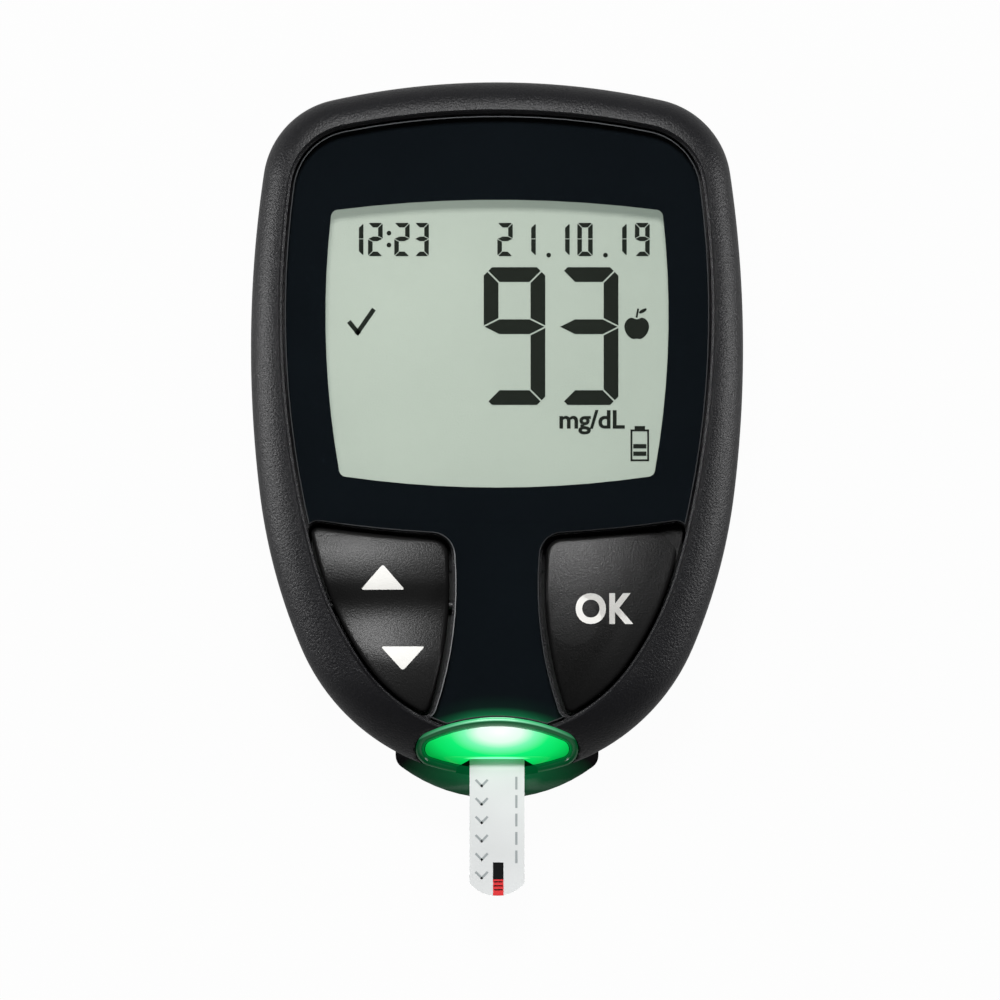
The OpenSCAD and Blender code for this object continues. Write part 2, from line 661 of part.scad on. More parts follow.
// The lit face is hollowed along an arc from its upper edge to the lip.
face_top = [port_top_y - ring_w, face_z[0]];
face_foot = [lip_y, face_z[1]];
face_chord = face_foot - face_top;
scoop_centre = (face_top + face_foot) / 2
    + [face_chord.y, -face_chord.x] / norm(face_chord) * sqrt(pow(scoop_r, 2) - pow(norm(face_chord) / 2, 2));
module scoop() {
    translate([-body_w / 2, scoop_centre.x, scoop_centre.y]) rotate([0, 90, 0]) cylinder(h = body_w, r = scoop_r);
}
module port_light_guide() {
    color("#17c653") difference() {
        union() {
            slab(seam_z + sill_t + 0.5, body_h) port_shape(ring_w + ring_gap);
            box(-2, 2, port_top_y - 2, port_top_y + 0.1, board_top - 0.05, board_top + 1.2);
        }
        beyond_nose(nose_r - bezel_drop - 0.2);
        scoop();
        strip_slot(0.3);
        mouth();
    }
}
connector_foot_y = port_top_y + 0.9;
connector_top_y = lip_y + strip_inside + 1.6;
module strip_connector() {
    color("#e2ddd0") difference() {
        box(-4.6, 4.6, connector_foot_y, connector_top_y, strip_z - 2, board_z);
        box(-strip_w / 2 - 0.2, strip_w / 2 + 0.2, connector_foot_y - 1, lip_y + strip_inside + 0.3,
            strip_z - 0.2, strip_z + 3 * strip_layer_t + 0.1);
        for (i = [-2:2])
            box(1.15 * i - 0.35, 1.15 * i + 0.35, connector_foot_y + 1, connector_top_y + 1, strip_z - 1.5, strip_z);
    }
}
module strip_contacts() {
    color("#d8b04a")
        for (i = [-2:2]) {
            box(1.15 * i - 0.25, 1.15 * i + 0.25, connector_foot_y + 1.4, connector_top_y + 1.2, strip_z - 1.4, strip_z - 1.1);
            box(1.15 * i - 0.25, 1.15 * i + 0.25, connector_top_y + 0.9, connector_top_y + 1.2, strip_z - 1.4, board_z);
            box(1.15 * i - 0.25, 1.15 * i + 0.25, connector_foot_y + 1.4, connector_foot_y + 1.8, strip_z - 1.4, strip_z - 0.3);
        }
}

// Buttons
flange_inset = button_corner_r - 0.2;
plunger_top = board_top + 0.85;
dome_d = 4.4;
dome_h = 0.25;
up_mark = [-13, up_y];
down_mark = [-10.7, down_y];
ok_mark = [12.3, ok_y];
ok_tab_l = 3;
module dish(at, r, depth) { translate([at.x, at.y, button_z - depth + r]) sphere(r = r); }
module scroll_rocker() {
    pocket_half = recess_half_w(pivot_y) - button_gap;
    color("#2a2a2c") difference() {
        union() {
            slab(cap_z, button_z) mirror([1, 0, 0]) button_shape();
            box(-pocket_half + 1, -neck_half_w - 1, pivot_y - 1.4, pivot_y + 1.4, pivot_z - pivot_d / 2 - 0.3, cap_z + eps);
            for (m = [up_mark, down_mark]) post(m.x, m.y, 2.4, plunger_top + 0.3, cap_z + eps);
        }
        dish(up_mark, dish_r, dish_depth);
        dish(down_mark, dish_r, dish_depth);
        translate([-body_w / 2, pivot_y, pivot_z]) rotate([0, 90, 0]) cylinder(h = body_w / 2, d = pivot_d + 0.12);
    }
}
module rocker_pin() {
    color("#b0b4b8") translate([-recess_half_w(pivot_y) - 1.8, pivot_y, pivot_z])
        rotate([0, 90, 0]) cylinder(h = recess_half_w(pivot_y) + 1.8 - neck_half_w + 1.9, d = pivot_d);
}
module ok_button() {
    color("#2a2a2c") difference() {
        union() {
            slab(cap_z, button_z) button_shape();
            slab(plunger_top + ok_travel + 0.1, cap_z + eps) button_shape(flange_inset);
            box(neck_half_w - ok_tab_l, recess_half_w(ok_mark.y) + 2, ok_mark.y - 1.5, ok_mark.y + 1.5,
                plunger_top + ok_travel + 0.1, plate_z - 0.15);
        }
        dish(ok_mark, dish_r * 1.6, dish_depth);
    }
}
mat_t = 0.45;
module keypad_mat() {
    color("#7d8288") difference() {
        union() {
            slab(board_top, board_top + mat_t) both_sides() button_shape(flange_inset);
            box(-neck_half_w - 2, neck_half_w + 2, button_top_y - 3.5, button_top_y - 1.5, board_top, board_top + mat_t);
            for (m = [up_mark, down_mark, ok_mark]) post(m.x, m.y, 3, board_top + mat_t - eps, plunger_top);
        }
        for (m = [up_mark, down_mark, ok_mark]) post(m.x, m.y, 5, board_top - 1, board_top + 0.3);
        box(-body_w / 2, -neck_half_w, pivot_y - 2.2, pivot_y + 2.2, board_top + 0.15, plunger_top);
    }
}
module snap_domes() {
    color("#c9ccd0")
        for (m = [up_mark, down_mark, ok_mark])
            translate([m.x, m.y, board_top]) cylinder(h = dome_h, d1 = dome_d, d2 = dome_d / 2);
}

// Batteries
cell_x = (cell_d + 1.5) / 2;
cell_z = cover_t + 0.2;
module coin_cell(x) {
    lid_t = 0.35;
    color("#c3c6c9") {
        post(x, cell_y, cell_d, cell_z, cell_z + cell_t - lid_t);
        post(x, cell_y, cell_d - 2.2, cell_z, cell_z + cell_t);
    }
}
module coin_cell_left() { coin_cell(-cell_x); }
module coin_cell_right() { coin_cell(cell_x); }
leaf_t = 0.2;
clip_x = cell_x + cell_d / 2 + 0.02 + leaf_t / 2;
module contact_slots(side) {
    box(side * cell_x - 1.5, side * cell_x + 1.5, cell_y - 2.6, cell_y - 1.2, 0, well_z + tray_t + 1);
    box(side * clip_x - 0.4, side * clip_x + 0.4, cell_y - 2, cell_y + 2, cell_z + 0.6, well_z + tray_t + 1);
}
module battery_springs() {
    color("#d2c48a")
        for (side = [-1, 1]) {
            box(side * cell_x - 1.2, side * cell_x + 1.2, cell_y - 2.3, cell_y + 4, cell_z + cell_t + 0.05,
                cell_z + cell_t + 0.05 + leaf_t);
            box(side * cell_x - 1.2, side * cell_x + 1.2, cell_y - 2.3, cell_y - 2.3 + leaf_t, cell_z + cell_t + 0.05, board_z);
        }
}
module battery_clips() {
    color("#cfd2d5")
        for (side = [-1, 1])
            box(side * clip_x - leaf_t / 2, side * clip_x + leaf_t / 2, cell_y - 1.6, cell_y + 1.6,
                cell_z + 0.9, board_z);
}
module case_screws() {
    color("#8d9196")
        for (s = screws) difference() {
            union() {
                post(s.x, s.y, head_d, head_z - head_t, head_z);
                post(s.x, s.y, screw_d - 0.32, head_z - eps, head_z + screw_l);
            }
            for (a = [0, 90])
                translate([s.x, s.y, head_z - head_t - eps]) rotate(a) box(-0.8, 0.8, -0.2, 0.2, 0, 0.6);
        }
}

// Test strip
strip_foot_y = lip_y - strip_reach;
module strip_shape() {
    intersection() {
        translate([-strip_w / 2, strip_foot_y]) square([strip_w, strip_reach + strip_inside]);
        union() {
            translate([0, strip_foot_y + strip_tip_r]) circle(strip_tip_r);
            translate([-strip_w, strip_foot_y + strip_tip_r]) square([2 * strip_w, strip_reach + strip_inside]);
        }
    }
}
module channel_shape() { translate([-channel_w / 2, strip_foot_y - 1]) square([channel_w, channel_l + 1]); }
module strip_layer(i) { slab(strip_z + i * strip_layer_t, strip_z + (i + 1) * strip_layer_t) children(); }
module strip_base() { color("#f1f1ef") strip_layer(0) strip_shape(); }
module strip_spacer() {
    color("#e9e9e6") strip_layer(1) difference() {
        intersection() {
            strip_shape();
            translate([-strip_w, strip_foot_y]) square([2 * strip_w, strip_reach + strip_inside - 5]);
        }
        channel_shape();
    }
}
module strip_cover() {
    color("#f6f6f6") strip_layer(2) intersection() {
        strip_shape();
        translate([-strip_w, strip_foot_y]) square([2 * strip_w, strip_reach + strip_inside - 5]);
    }
}

front_housing();
rear_housing();
battery_cover();
front_lens();
lens_print();
lens_adhesive();
lcd_front_glass();
lcd_rear_glass();
lcd_reflector();
lcd_frame();
zebra_connector();
main_board();
microcontroller();
radio_module();
radio_antenna();
clock_crystal();
chip_parts();
buzzer();
port_led();
port_light_guide();
port_bezel();
strip_connector();
strip_contacts();
scroll_rocker();
rocker_pin();
ok_button();
keypad_mat();
snap_domes();
coin_cell_left();
coin_cell_right();
battery_springs();
battery_clips();
case_screws();
strip_base();
strip_spacer();
strip_cover();
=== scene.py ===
"""A handheld blood glucose meter on its back, with a test strip in its lit port.

X is to the right, Y to the top of the meter and Z out of the screen; z = 0 is what it lies on.
Sizes are in millimetres until a piece is finished, which turns its mesh to metres.
"""

from __future__ import annotations

import logging
import math
from collections.abc import Callable, Iterable, Sequence
from dataclasses import dataclass
from enum import Enum

import bmesh
import bpy
from mathutils import Matrix, Vector

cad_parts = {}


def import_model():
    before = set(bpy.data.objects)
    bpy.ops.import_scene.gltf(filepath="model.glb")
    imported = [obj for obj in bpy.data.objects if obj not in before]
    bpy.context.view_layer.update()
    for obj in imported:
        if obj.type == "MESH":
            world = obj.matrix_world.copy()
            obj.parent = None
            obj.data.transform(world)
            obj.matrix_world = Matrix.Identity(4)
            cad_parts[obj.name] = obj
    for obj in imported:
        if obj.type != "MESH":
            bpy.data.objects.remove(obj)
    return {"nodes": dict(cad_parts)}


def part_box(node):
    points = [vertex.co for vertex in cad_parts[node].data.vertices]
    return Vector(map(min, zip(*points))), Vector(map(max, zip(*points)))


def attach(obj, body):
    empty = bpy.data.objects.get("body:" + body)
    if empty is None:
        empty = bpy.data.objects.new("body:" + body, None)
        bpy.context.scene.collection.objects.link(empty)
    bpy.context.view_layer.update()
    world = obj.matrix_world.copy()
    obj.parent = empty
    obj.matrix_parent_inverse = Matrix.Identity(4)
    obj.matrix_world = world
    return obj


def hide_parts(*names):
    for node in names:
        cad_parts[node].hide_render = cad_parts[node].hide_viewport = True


LOG = logging.getLogger("meter")
MM = 0.001
DOWN = (0.0, 0.0, -1.0)
Height = float | Callable[[Vector], float]


class Body(Enum):
    """The bodies that move on their own."""

    METER = "meter"
    ROCKER = "rocker"
    OK = "ok"
    COVER = "cover"
    STRIP = "strip"


# Colours and nodes


def linear(code: str) -> tuple[float, float, float, float]:
    """Turns an sRGB hex value to the linear colour that a shader takes.

    Args:
        code: Six hex digits, with or without a leading #.

    Returns:
        Linear red, green, blue and an alpha of 1.
    """
    parts = [int(code.lstrip("#")[i : i + 2], 16) / 255 for i in (0, 2, 4)]
    red, green, blue = (p / 12.92 if p <= 0.04045 else ((p + 0.055) / 1.055) ** 2.4 for p in parts)
    return red, green, blue, 1.0


def add_node(
    tree: bpy.types.NodeTree,
    kind: str,
    settings: dict[str, object] | None = None,
    inputs: dict[str | int, object] | None = None,
) -> bpy.types.Node:
    """Adds a node with its settings and links.

    Args:
        tree: The node tree that it goes into.
        kind: The node's type, without the leading ShaderNode.
        settings: Values of the node's own properties.
        inputs: For each input socket a value, or another node's output socket to link.

    Returns:
        The new node.
    """
    node = tree.nodes.new("ShaderNode" + kind)
    for name, value in (settings or {}).items():
        setattr(node, name, value)
    for key, value in (inputs or {}).items():
        if isinstance(value, bpy.types.NodeSocket):
            tree.links.new(value, node.inputs[key])
        else:
            node.inputs[key].default_value = value
    return node


def new_material(name: str) -> tuple[bpy.types.Material, bpy.types.NodeTree]:
    """Makes an empty node material."""
    material = bpy.data.materials.new(name)
    material.use_nodes = True
    material.node_tree.nodes.clear()
    return material, material.node_tree


def ramp(node: bpy.types.Node, stops: Sequence[tuple[float, tuple[float, ...]]]) -> None:
    """Sets a colour ramp's stops, each a place from 0 to 1 and a colour."""
    elements = node.color_ramp.elements
    while len(elements) < len(stops):
        elements.new(1.0)
    for element, (place, value) in zip(elements, stops):
        element.position = place
        element.color = value


@dataclass(frozen=True)
class Finish:
    """A moulded, cast or stamped surface with a fine grain.

    The grain is a bump of a real size, and the same grain varies the gloss a little.
    """

    name: str
    colour: str
    roughness: float = 0.45
    metallic: float = 0.0
    ior: float = 1.5
    grain_mm: float = 0.28
    grain_height_mm: float = 0.008
    mottle: float = 0.05
    tint: float = 0.06
    coat: float = 0.0

    def build(self) -> bpy.types.Material:
        """Builds the material."""
        material, tree = new_material(self.name)
        place = add_node(tree, "TexCoord").outputs["Object"]
        grain = add_node(
            tree,
            "TexNoise",
            inputs={"Vector": place, "Scale": 1 / (self.grain_mm * MM), "Detail": 3.0, "Roughness": 0.6},
        )
        cloud = add_node(tree, "TexNoise", inputs={"Vector": place, "Scale": 90.0, "Detail": 2.0})
        shade = add_node(tree, "ValToRGB", inputs={"Fac": cloud.outputs["Fac"]})
        base = linear(self.colour)
        ramp(
            shade,
            [
                (0.3, tuple(c * (1 - self.tint) for c in base[:3]) + (1.0,)),
                (0.7, tuple(min(1.0, c * (1 + self.tint)) for c in base[:3]) + (1.0,)),
            ],
        )
        gloss = add_node(
            tree,
            "MapRange",
            inputs={
                "Value": grain.outputs["Fac"],
                "To Min": self.roughness - self.mottle,
                "To Max": self.roughness + self.mottle,
            },
        )
        bump = add_node(
            tree,
            "Bump",
            inputs={"Height": grain.outputs["Fac"], "Distance": self.grain_height_mm * MM, "Strength": 1.0},
        )
        shader = add_node(
            tree,
            "BsdfPrincipled",
            inputs={
                "Base Color": shade.outputs["Color"],
                "Roughness": gloss.outputs["Result"],
                "Metallic": self.metallic,
                "IOR": self.ior,
                "Normal": bump.outputs["Normal"],
                "Coat Weight": self.coat,
                "Coat Roughness": 0.06,
            },
        )
        self.finish(tree, shader.outputs["BSDF"], place)
        return material

    def finish(self, tree: bpy.types.NodeTree, surface: bpy.types.NodeSocket, place: bpy.types.NodeSocket) -> None:
        """Ends the material with its surface."""
        add_node(tree, "OutputMaterial", inputs={"Surface": surface})


@dataclass(frozen=True)
class ClearSheet:
    """Clear acrylic or glass, polished, so that it reflects by Fresnel's law and lets the rest through.

    It bends no light, so that what lies behind it stays sharp and is lit through it.
    """

    name: str
    tint: str = "#FFFFFF"
    ior: float = 1.49
    roughness: float = 0.03
    ripple_mm: float = 25.0

    def build(self) -> bpy.types.Material:
        """Builds the material."""
        material, tree = new_material(self.name)
        place = add_node(tree, "TexCoord").outputs["Object"]
        ripple = add_node(tree, "TexNoise", inputs={"Vector": place, "Scale": 1 / (self.ripple_mm * MM)})
        bump = add_node(tree, "Bump", inputs={"Height": ripple.outputs["Fac"], "Distance": 0.002 * MM})
        through = add_node(tree, "BsdfTransparent", inputs={"Color": linear(self.tint)})
        gloss = add_node(
            tree, "BsdfGlossy", inputs={"Roughness": self.roughness, "Normal": bump.outputs["Normal"]}
        )
        share = add_node(tree, "Fresnel", inputs={"IOR": self.ior})
        mixed = add_node(
            tree,
            "MixShader",
            inputs={0: share.outputs["Fac"], 1: through.outputs["BSDF"], 2: gloss.outputs["BSDF"]},
        )
        add_node(tree, "OutputMaterial", inputs={"Surface": mixed.outputs["Shader"]})
        return material


# Finishes, each named for its real material and the way its surface was made

# Spark-eroded tool texture on black ABS: a dull sheen broken up by coarse speckle
HOUSING = Finish("moulded ABS, spark texture", "#131315", roughness=0.4, ior=1.34, grain_mm=0.26, grain_height_mm=0.08)
# The same resin in the back, a little coarser, as it hides scratches
BACK = Finish("moulded ABS, coarse texture", "#18181A", roughness=0.52, grain_mm=0.4, grain_height_mm=0.03)
# Fine texture on warm dark grey plastic: broad soft highlights
BUTTON = Finish("moulded dark grey plastic", "#131313", roughness=0.38, ior=1.36, grain_mm=0.2, grain_height_mm=0.034)
# White pad-printed ink, thick enough to look solid
MARK_INK = Finish("pad-printed white ink", "#D9D8D4", roughness=0.55, grain_mm=0.1, grain_height_mm=0.004)
ADHESIVE = Finish("foam adhesive", "#151515", roughness=0.85, grain_mm=0.3, grain_height_mm=0.03)
LENS = ClearSheet("hard-coated acrylic")
DISPLAY_GLASS = ClearSheet("display glass with polariser", tint="#FDFEFC", ior=1.5, roughness=0.08, ripple_mm=14.0)
# Twisted liquid crystal between the glasses: dark and faintly green
CRYSTAL_INK = Finish("switched liquid crystal", "#272B27", roughness=0.6, ior=1.02, grain_mm=0.1, grain_height_mm=0.0)
FRAME_PLASTIC = Finish("moulded white polycarbonate", "#E4E2DC", roughness=0.5)
BLACK_PLASTIC = Finish("moulded black polycarbonate", "#141415", roughness=0.55)
ELASTOMER = Finish("layered contact elastomer", "#8A7468", roughness=0.8, grain_mm=0.12)
# Black board and mat, so that the gaps round the buttons stay black
SOLDER_MASK = Finish("matt black solder mask", "#0E1311", roughness=0.5, grain_mm=0.5, grain_height_mm=0.01, tint=0.12)
EPOXY = Finish("moulded epoxy", "#202022", roughness=0.62, grain_mm=0.1, grain_height_mm=0.006)
CERAMIC = Finish("fired ceramic", "#B4946A", roughness=0.5, grain_mm=0.08)
NICKEL = Finish("nickel-plated steel", "#B9BABB", roughness=0.28, metallic=1.0, grain_mm=0.2, grain_height_mm=0.003)
# Black oxide leaves steel nearly black, so that the pin doesn't show in the gap
BLACK_STEEL = Finish("black-oxide steel", "#161617", roughness=0.5, grain_mm=0.1)
TIN_CAN = Finish("drawn tin-plated can", "#A9ABAD", roughness=0.35, metallic=1.0, grain_mm=0.3, grain_height_mm=0.004)
GILT = Finish("gilt copper", "#D9B25A", roughness=0.25, metallic=1.0, grain_mm=0.1, grain_height_mm=0.003)
SILICONE = Finish("moulded black silicone", "#17181A", roughness=0.7, grain_mm=0.2)
# White polyester film, laminated: satin and slightly uneven
STRIP_FILM = Finish("laminated white polyester", "#C6C8C8", roughness=0.4, grain_mm=0.35, grain_height_mm=0.004)
CHANNEL_INK = Finish("printed reaction layer", "#060708", roughness=0.5, ior=1.2, grain_mm=0.15)
REAGENT = Finish("dried reagent", "#C40D14", roughness=0.55, grain_mm=0.12, grain_height_mm=0.01)
STRIP_MARK = Finish("pale grey print", "#8A9091", roughness=0.5, grain_mm=0.1, grain_height_mm=0.002)


@dataclass(frozen=True)
class Glow:
    """Light in a surface that changes colour with the distance from a place."""

    centre: tuple[float, float, float]
    reach: tuple[float, float, float]
    stops: tuple[tuple[float, str], ...]

    def colour(self, tree: bpy.types.NodeTree, place: bpy.types.NodeSocket) -> bpy.types.NodeSocket:
        """Adds the nodes of the glow.

        Args:
            tree: The node tree.
            place: Where on the surface a point lies.

        Returns:
            The glow's colour there.
        """
        mapping = add_node(
            tree,
            "Mapping",
            {"vector_type": "TEXTURE"},
            {
                "Vector": place,
                "Location": tuple(c * MM for c in self.centre),
                "Scale": tuple(r * MM for r in self.reach),
            },
        )
        distance = add_node(tree, "VectorMath", {"operation": "LENGTH"}, {0: mapping.outputs["Vector"]})
        shade = add_node(tree, "ValToRGB", inputs={"Fac": distance.outputs["Value"]})
        ramp(shade, [(where, linear(code)) for where, code in self.stops])
        return shade.outputs["Color"]


@dataclass(frozen=True)
class LitFinish(Finish):
    """A finish with light in it: the glows of a group are multiplied, and the groups are added."""

    glows: tuple[tuple[Glow, ...], ...] = ()

    def finish(self, tree: bpy.types.NodeTree, surface: bpy.types.NodeSocket, place: bpy.types.NodeSocket) -> None:
        """Adds the light to the surface."""
        for group in self.glows:
            colour, *others = (glow.colour(tree, place) for glow in group)
            for other in others:
                colour = add_node(
                    tree, "VectorMath", {"operation": "MULTIPLY"}, {0: colour, 1: other}
                ).outputs["Vector"]
            light = add_node(tree, "Emission", inputs={"Color": colour, "Strength": 1.0})
            surface = add_node(
                tree, "AddShader", inputs={0: surface, 1: light.outputs["Emission"]}
            ).outputs["Shader"]
        add_node(tree, "OutputMaterial", inputs={"Surface": surface})


FAR = 9000.0
# Centre and radius of the arc along the port's upper edge
PORT_ARC = (0.0, -50.9, 0.0)
# Printed film behind the lens, bonded to it, so that it has no gloss of its own; the port's green light on its lower
# end is a painted glow that fades towards its sides
PRINT_PAINTED_GLOW = LitFinish(
    "screen-printed film, painted port glow",
    "#0F1418",
    roughness=0.7,
    ior=1.02,
    grain_mm=0.15,
    grain_height_mm=0.002,
    glows=(
        (
            Glow(PORT_ARC, (24.0, 24.0, FAR), ((0.81, "#0FA35A"), (0.825, "#0A6238"), (0.86, "#02180D"), (0.92, "#000000"))),
            Glow((0.0, -33.0, 15.0), (9.0, FAR, FAR), ((0.3, "#FFFFFF"), (0.95, "#303030"), (1.0, "#000000"))),
        ),
    ),
)
# Grey-green metallised film, flat with a grain like fine paper; a painted glow, brighter towards the upper left, fills
# its shadows in place of the light that goes round in the cell
REFLECTOR_PAINTED_FILL = LitFinish(
    "metallised reflector film, painted fill light",
    "#949A92",
    roughness=0.7,
    grain_mm=0.22,
    grain_height_mm=0.03,
    tint=0.03,
    # Painted fill light, brighter towards the upper left
    glows=((Glow((-18.0, 22.0, 13.0), (62.0, 62.0, FAR), ((0.0, "#8E9890"), (1.0, "#76827A"))),),),
)
# The rounded edge of the lens, a thin grey line that is a painted highlight of the clear edge
EDGE_PAINTED_HIGHLIGHT = Finish("painted edge highlight", "#4A4C4E", roughness=0.45, grain_mm=0.1, grain_height_mm=0.004)
# The back's resin, with the port's green light painted on the chin as a glow
CHIN_PAINTED_GLOW = LitFinish(
    "moulded ABS, coarse texture",
    "#131315",
    roughness=0.5,
    ior=1.34,
    grain_mm=0.4,
    grain_height_mm=0.03,
    glows=(
        # Painted green glow on the chin below the port
        (Glow((0.0, -37.9, 8.8), (11.5, 3.6, 8.0), ((0.0, "#0C6A3C"), (0.5, "#084426"), (1.0, "#000000"))),),
    ),
)
# Cloudy acrylic over the lamp: white-hot at its upper edge, green at its ends, with a painted highlight line along its
# lip
LIT_ACRYLIC_PAINTED_LIP = LitFinish(
    "edge-lit acrylic",
    "#063018",
    roughness=0.2,
    grain_mm=0.6,
    grain_height_mm=0.004,
    glows=(
        (
            Glow(
                (0.3, -33.1, 14.0),
                (9.6, 4.6, FAR),
                (
                    (0.0, "#FFFFFF"),
                    (0.26, "#E4FFEE"),
                    (0.42, "#7AF8B4"),
                    (0.6, "#08EE74"),
                    (0.8, "#00DC60"),
                    (1.0, "#00A23E"),
                ),
            ),
        ),
        # Painted highlight along the lip
        (Glow((0.0, -36.12, 12.0), (3.9, 0.17, FAR), ((0.6, "#8CE8B8"), (1.0, "#000000"))),),
    ),
)
# Polished black plastic with the port's light painted on it: a painted bright line along its upper edge, painted dark
# green glow elsewhere
RING_PAINTED_GLOW = LitFinish(
    "polished black plastic, painted green glow",
    "#020C07",
    roughness=0.2,
    ior=1.3,
    grain_mm=2.0,
    grain_height_mm=0.002,
    glows=(
        (
            # Painted highlight line along the upper edge, fading to the sides
            Glow(PORT_ARC, (20.0, 20.0, FAR), ((0.953, "#000000"), (0.959, "#93EABB"), (0.97, "#4CC883"))),
            Glow((0.0, -33.0, 15.0), (9.5, FAR, FAR), ((0.2, "#FFFFFF"), (0.8, "#909090"), (1.0, "#202020"))),
        ),
        # Painted dark green glow
        (Glow((0.0, -34.4, 13.0), (10.0, 5.0, FAR), ((0.5, "#00522A"), (0.85, "#004722"), (1.0, "#002A12"))),),
    ),
)


# Meshes


def cad_solid(node: str) -> bmesh.types.BMesh:
    """Copies a CAD node as one merged solid.

    Args:
        node: The node's name.

    Returns:
        A bmesh in millimetres, with its triangles joined to flat faces.
    """
    solid = bmesh.new()
    solid.from_mesh(FRAME_NODES[node].data)
    bmesh.ops.scale(solid, vec=(1 / MM,) * 3, verts=solid.verts)
    bmesh.ops.remove_doubles(solid, verts=solid.verts, dist=0.002)
    bmesh.ops.dissolve_limit(
        solid, angle_limit=math.radians(0.5), verts=solid.verts, edges=solid.edges, delimit={"NORMAL"}
    )
    return solid


def finish_piece(
    name: str,
    shape: bmesh.types.BMesh,
    finish: bpy.types.Material,
    body: Body,
    replaced: Iterable[str] = (),
    crease: float = 35.0,
) -> bpy.types.Object:
    """Turns a shape in millimetres to a finished piece that rides on a body.

    Args:
        name: The piece's name.
        shape: The bmesh, which is freed.
        finish: Its material.
        body: The body that carries it.
        replaced: CAD nodes that it stands for.
        crease: Edges sharper than this angle stay sharp, in degrees.

    Returns:
        The new object, at the origin.
    """
    bmesh.ops.scale(shape, vec=(MM,) * 3, verts=shape.verts)
    mesh = bpy.data.meshes.new(name)
    shape.to_mesh(mesh)
    shape.free()
    mesh.shade_smooth()
    mesh.set_sharp_from_angle(angle=math.radians(crease))
    piece = bpy.data.objects.new(name, mesh)
    bpy.context.scene.collection.objects.link(piece)
    mesh.materials.append(finish)
    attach(piece, body.value)
    for node in replaced:
        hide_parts(node)
    LOG.info("%s: %d faces, on %s", name, len(mesh.polygons), body.value)
    return piece


def cut_away(shape: bmesh.types.BMesh, cutter: bmesh.types.BMesh, keep_inside: bool = False) -> bmesh.types.BMesh:
    """Cuts one closed shape with another.

    Args:
        shape: The shape that is cut, which is freed.
        cutter: The shape that cuts it, which is freed.
        keep_inside: Whether what lies inside the cutter stays, in place of what lies outside it.

    Returns:
        What is left.
    """
    objects = []
    for part in (shape, cutter):
        bmesh.ops.recalc_face_normals(part, faces=part.faces)
        mesh = bpy.data.meshes.new("cutting")
        part.to_mesh(mesh)
        part.free()
        item = bpy.data.objects.new("cutting", mesh)
        bpy.context.scene.collection.objects.link(item)
        objects.append(item)
    saw = objects[0].modifiers.new("saw", "BOOLEAN")
    saw.operation = "INTERSECT" if keep_inside else "DIFFERENCE"
    saw.solver = "EXACT"
    saw.object = objects[1]
    bpy.context.view_layer.update()
    evaluated = objects[0].evaluated_get(bpy.context.evaluated_depsgraph_get())
    left = bmesh.new()
    left.from_mesh(evaluated.to_mesh())
    evaluated.to_mesh_clear()
    for item in objects:
        mesh = item.data
        bpy.data.objects.remove(item)
        bpy.data.meshes.remove(mesh)
    return left


@dataclass
class Outline:
    """A closed outline, anticlockwise, with the outward direction at each of its points."""

    points: list[Vector]
    normals: list[Vector]

    @classmethod
    def through(cls, points: Sequence[Vector], spacing: float) -> Outline:
        """Lays evenly spaced points along a closed loop.

        Args:
            points: The loop's corners, anticlockwise.
            spacing: About how far apart the new points lie.

        Returns:
            The outline.
        """
        loop = [Vector((p.x, p.y)) for p in points]
        lengths = [(loop[(i + 1) % len(loop)] - p).length for i, p in enumerate(loop)]
        count = max(8, round(sum(lengths) / spacing))
        stride = sum(lengths) / count
        even, leg, gone = [], 0, 0.0
        for k in range(count):
            while gone + lengths[leg] < k * stride and leg < len(loop) - 1:
                gone += lengths[leg]
                leg += 1
            share = (k * stride - gone) / max(lengths[leg], 1e-9)
            even.append(loop[leg].lerp(loop[(leg + 1) % len(loop)], share))
        normals = []
        for i in range(count):
            along = even[(i + 1) % count] - even[i - 1]
            normals.append(Vector((along.y, -along.x)).normalized())
        return cls(even, normals)

    @classmethod
    def section(cls, node: str, height: float, spacing: float) -> Outline:
        """Takes the outer outline of a CAD node's section at a height."""
        solid = cad_solid(node)
        bmesh.ops.bisect_plane(
            solid,
            geom=solid.verts[:] + solid.edges[:] + solid.faces[:],
            dist=1e-5,
            plane_co=(0, 0, height),
            plane_no=(0, 0, 1),
            clear_inner=True,
            clear_outer=True,
        )
        bmesh.ops.remove_doubles(solid, verts=solid.verts, dist=1e-4)
        left, best, best_area = set(solid.verts), [], 0.0
        while left:
            here = left.pop()
            loop = [here]
            while True:
                ahead = [e.other_vert(here) for e in here.link_edges if e.other_vert(here) in left]
                if not ahead:
                    break
                here = ahead[0]
                left.discard(here)
                loop.append(here)
            area = sum(
                a.co.x * b.co.y - b.co.x * a.co.y for a, b in zip(loop, loop[1:] + loop[:1])
            ) / 2
            if abs(area) > abs(best_area):
                best, best_area = [v.co.copy() for v in loop], area
        solid.free()
        return cls.through(best if best_area > 0 else best[::-1], spacing)

    def at(self, inset: float, height: Height) -> list[Vector]:
        """Gives the outline's points moved inwards and lifted to a height."""
        flat = [p - n * inset for p, n in zip(self.points, self.normals)]
        return [Vector((p.x, p.y, height(p) if callable(height) else height)) for p in flat]


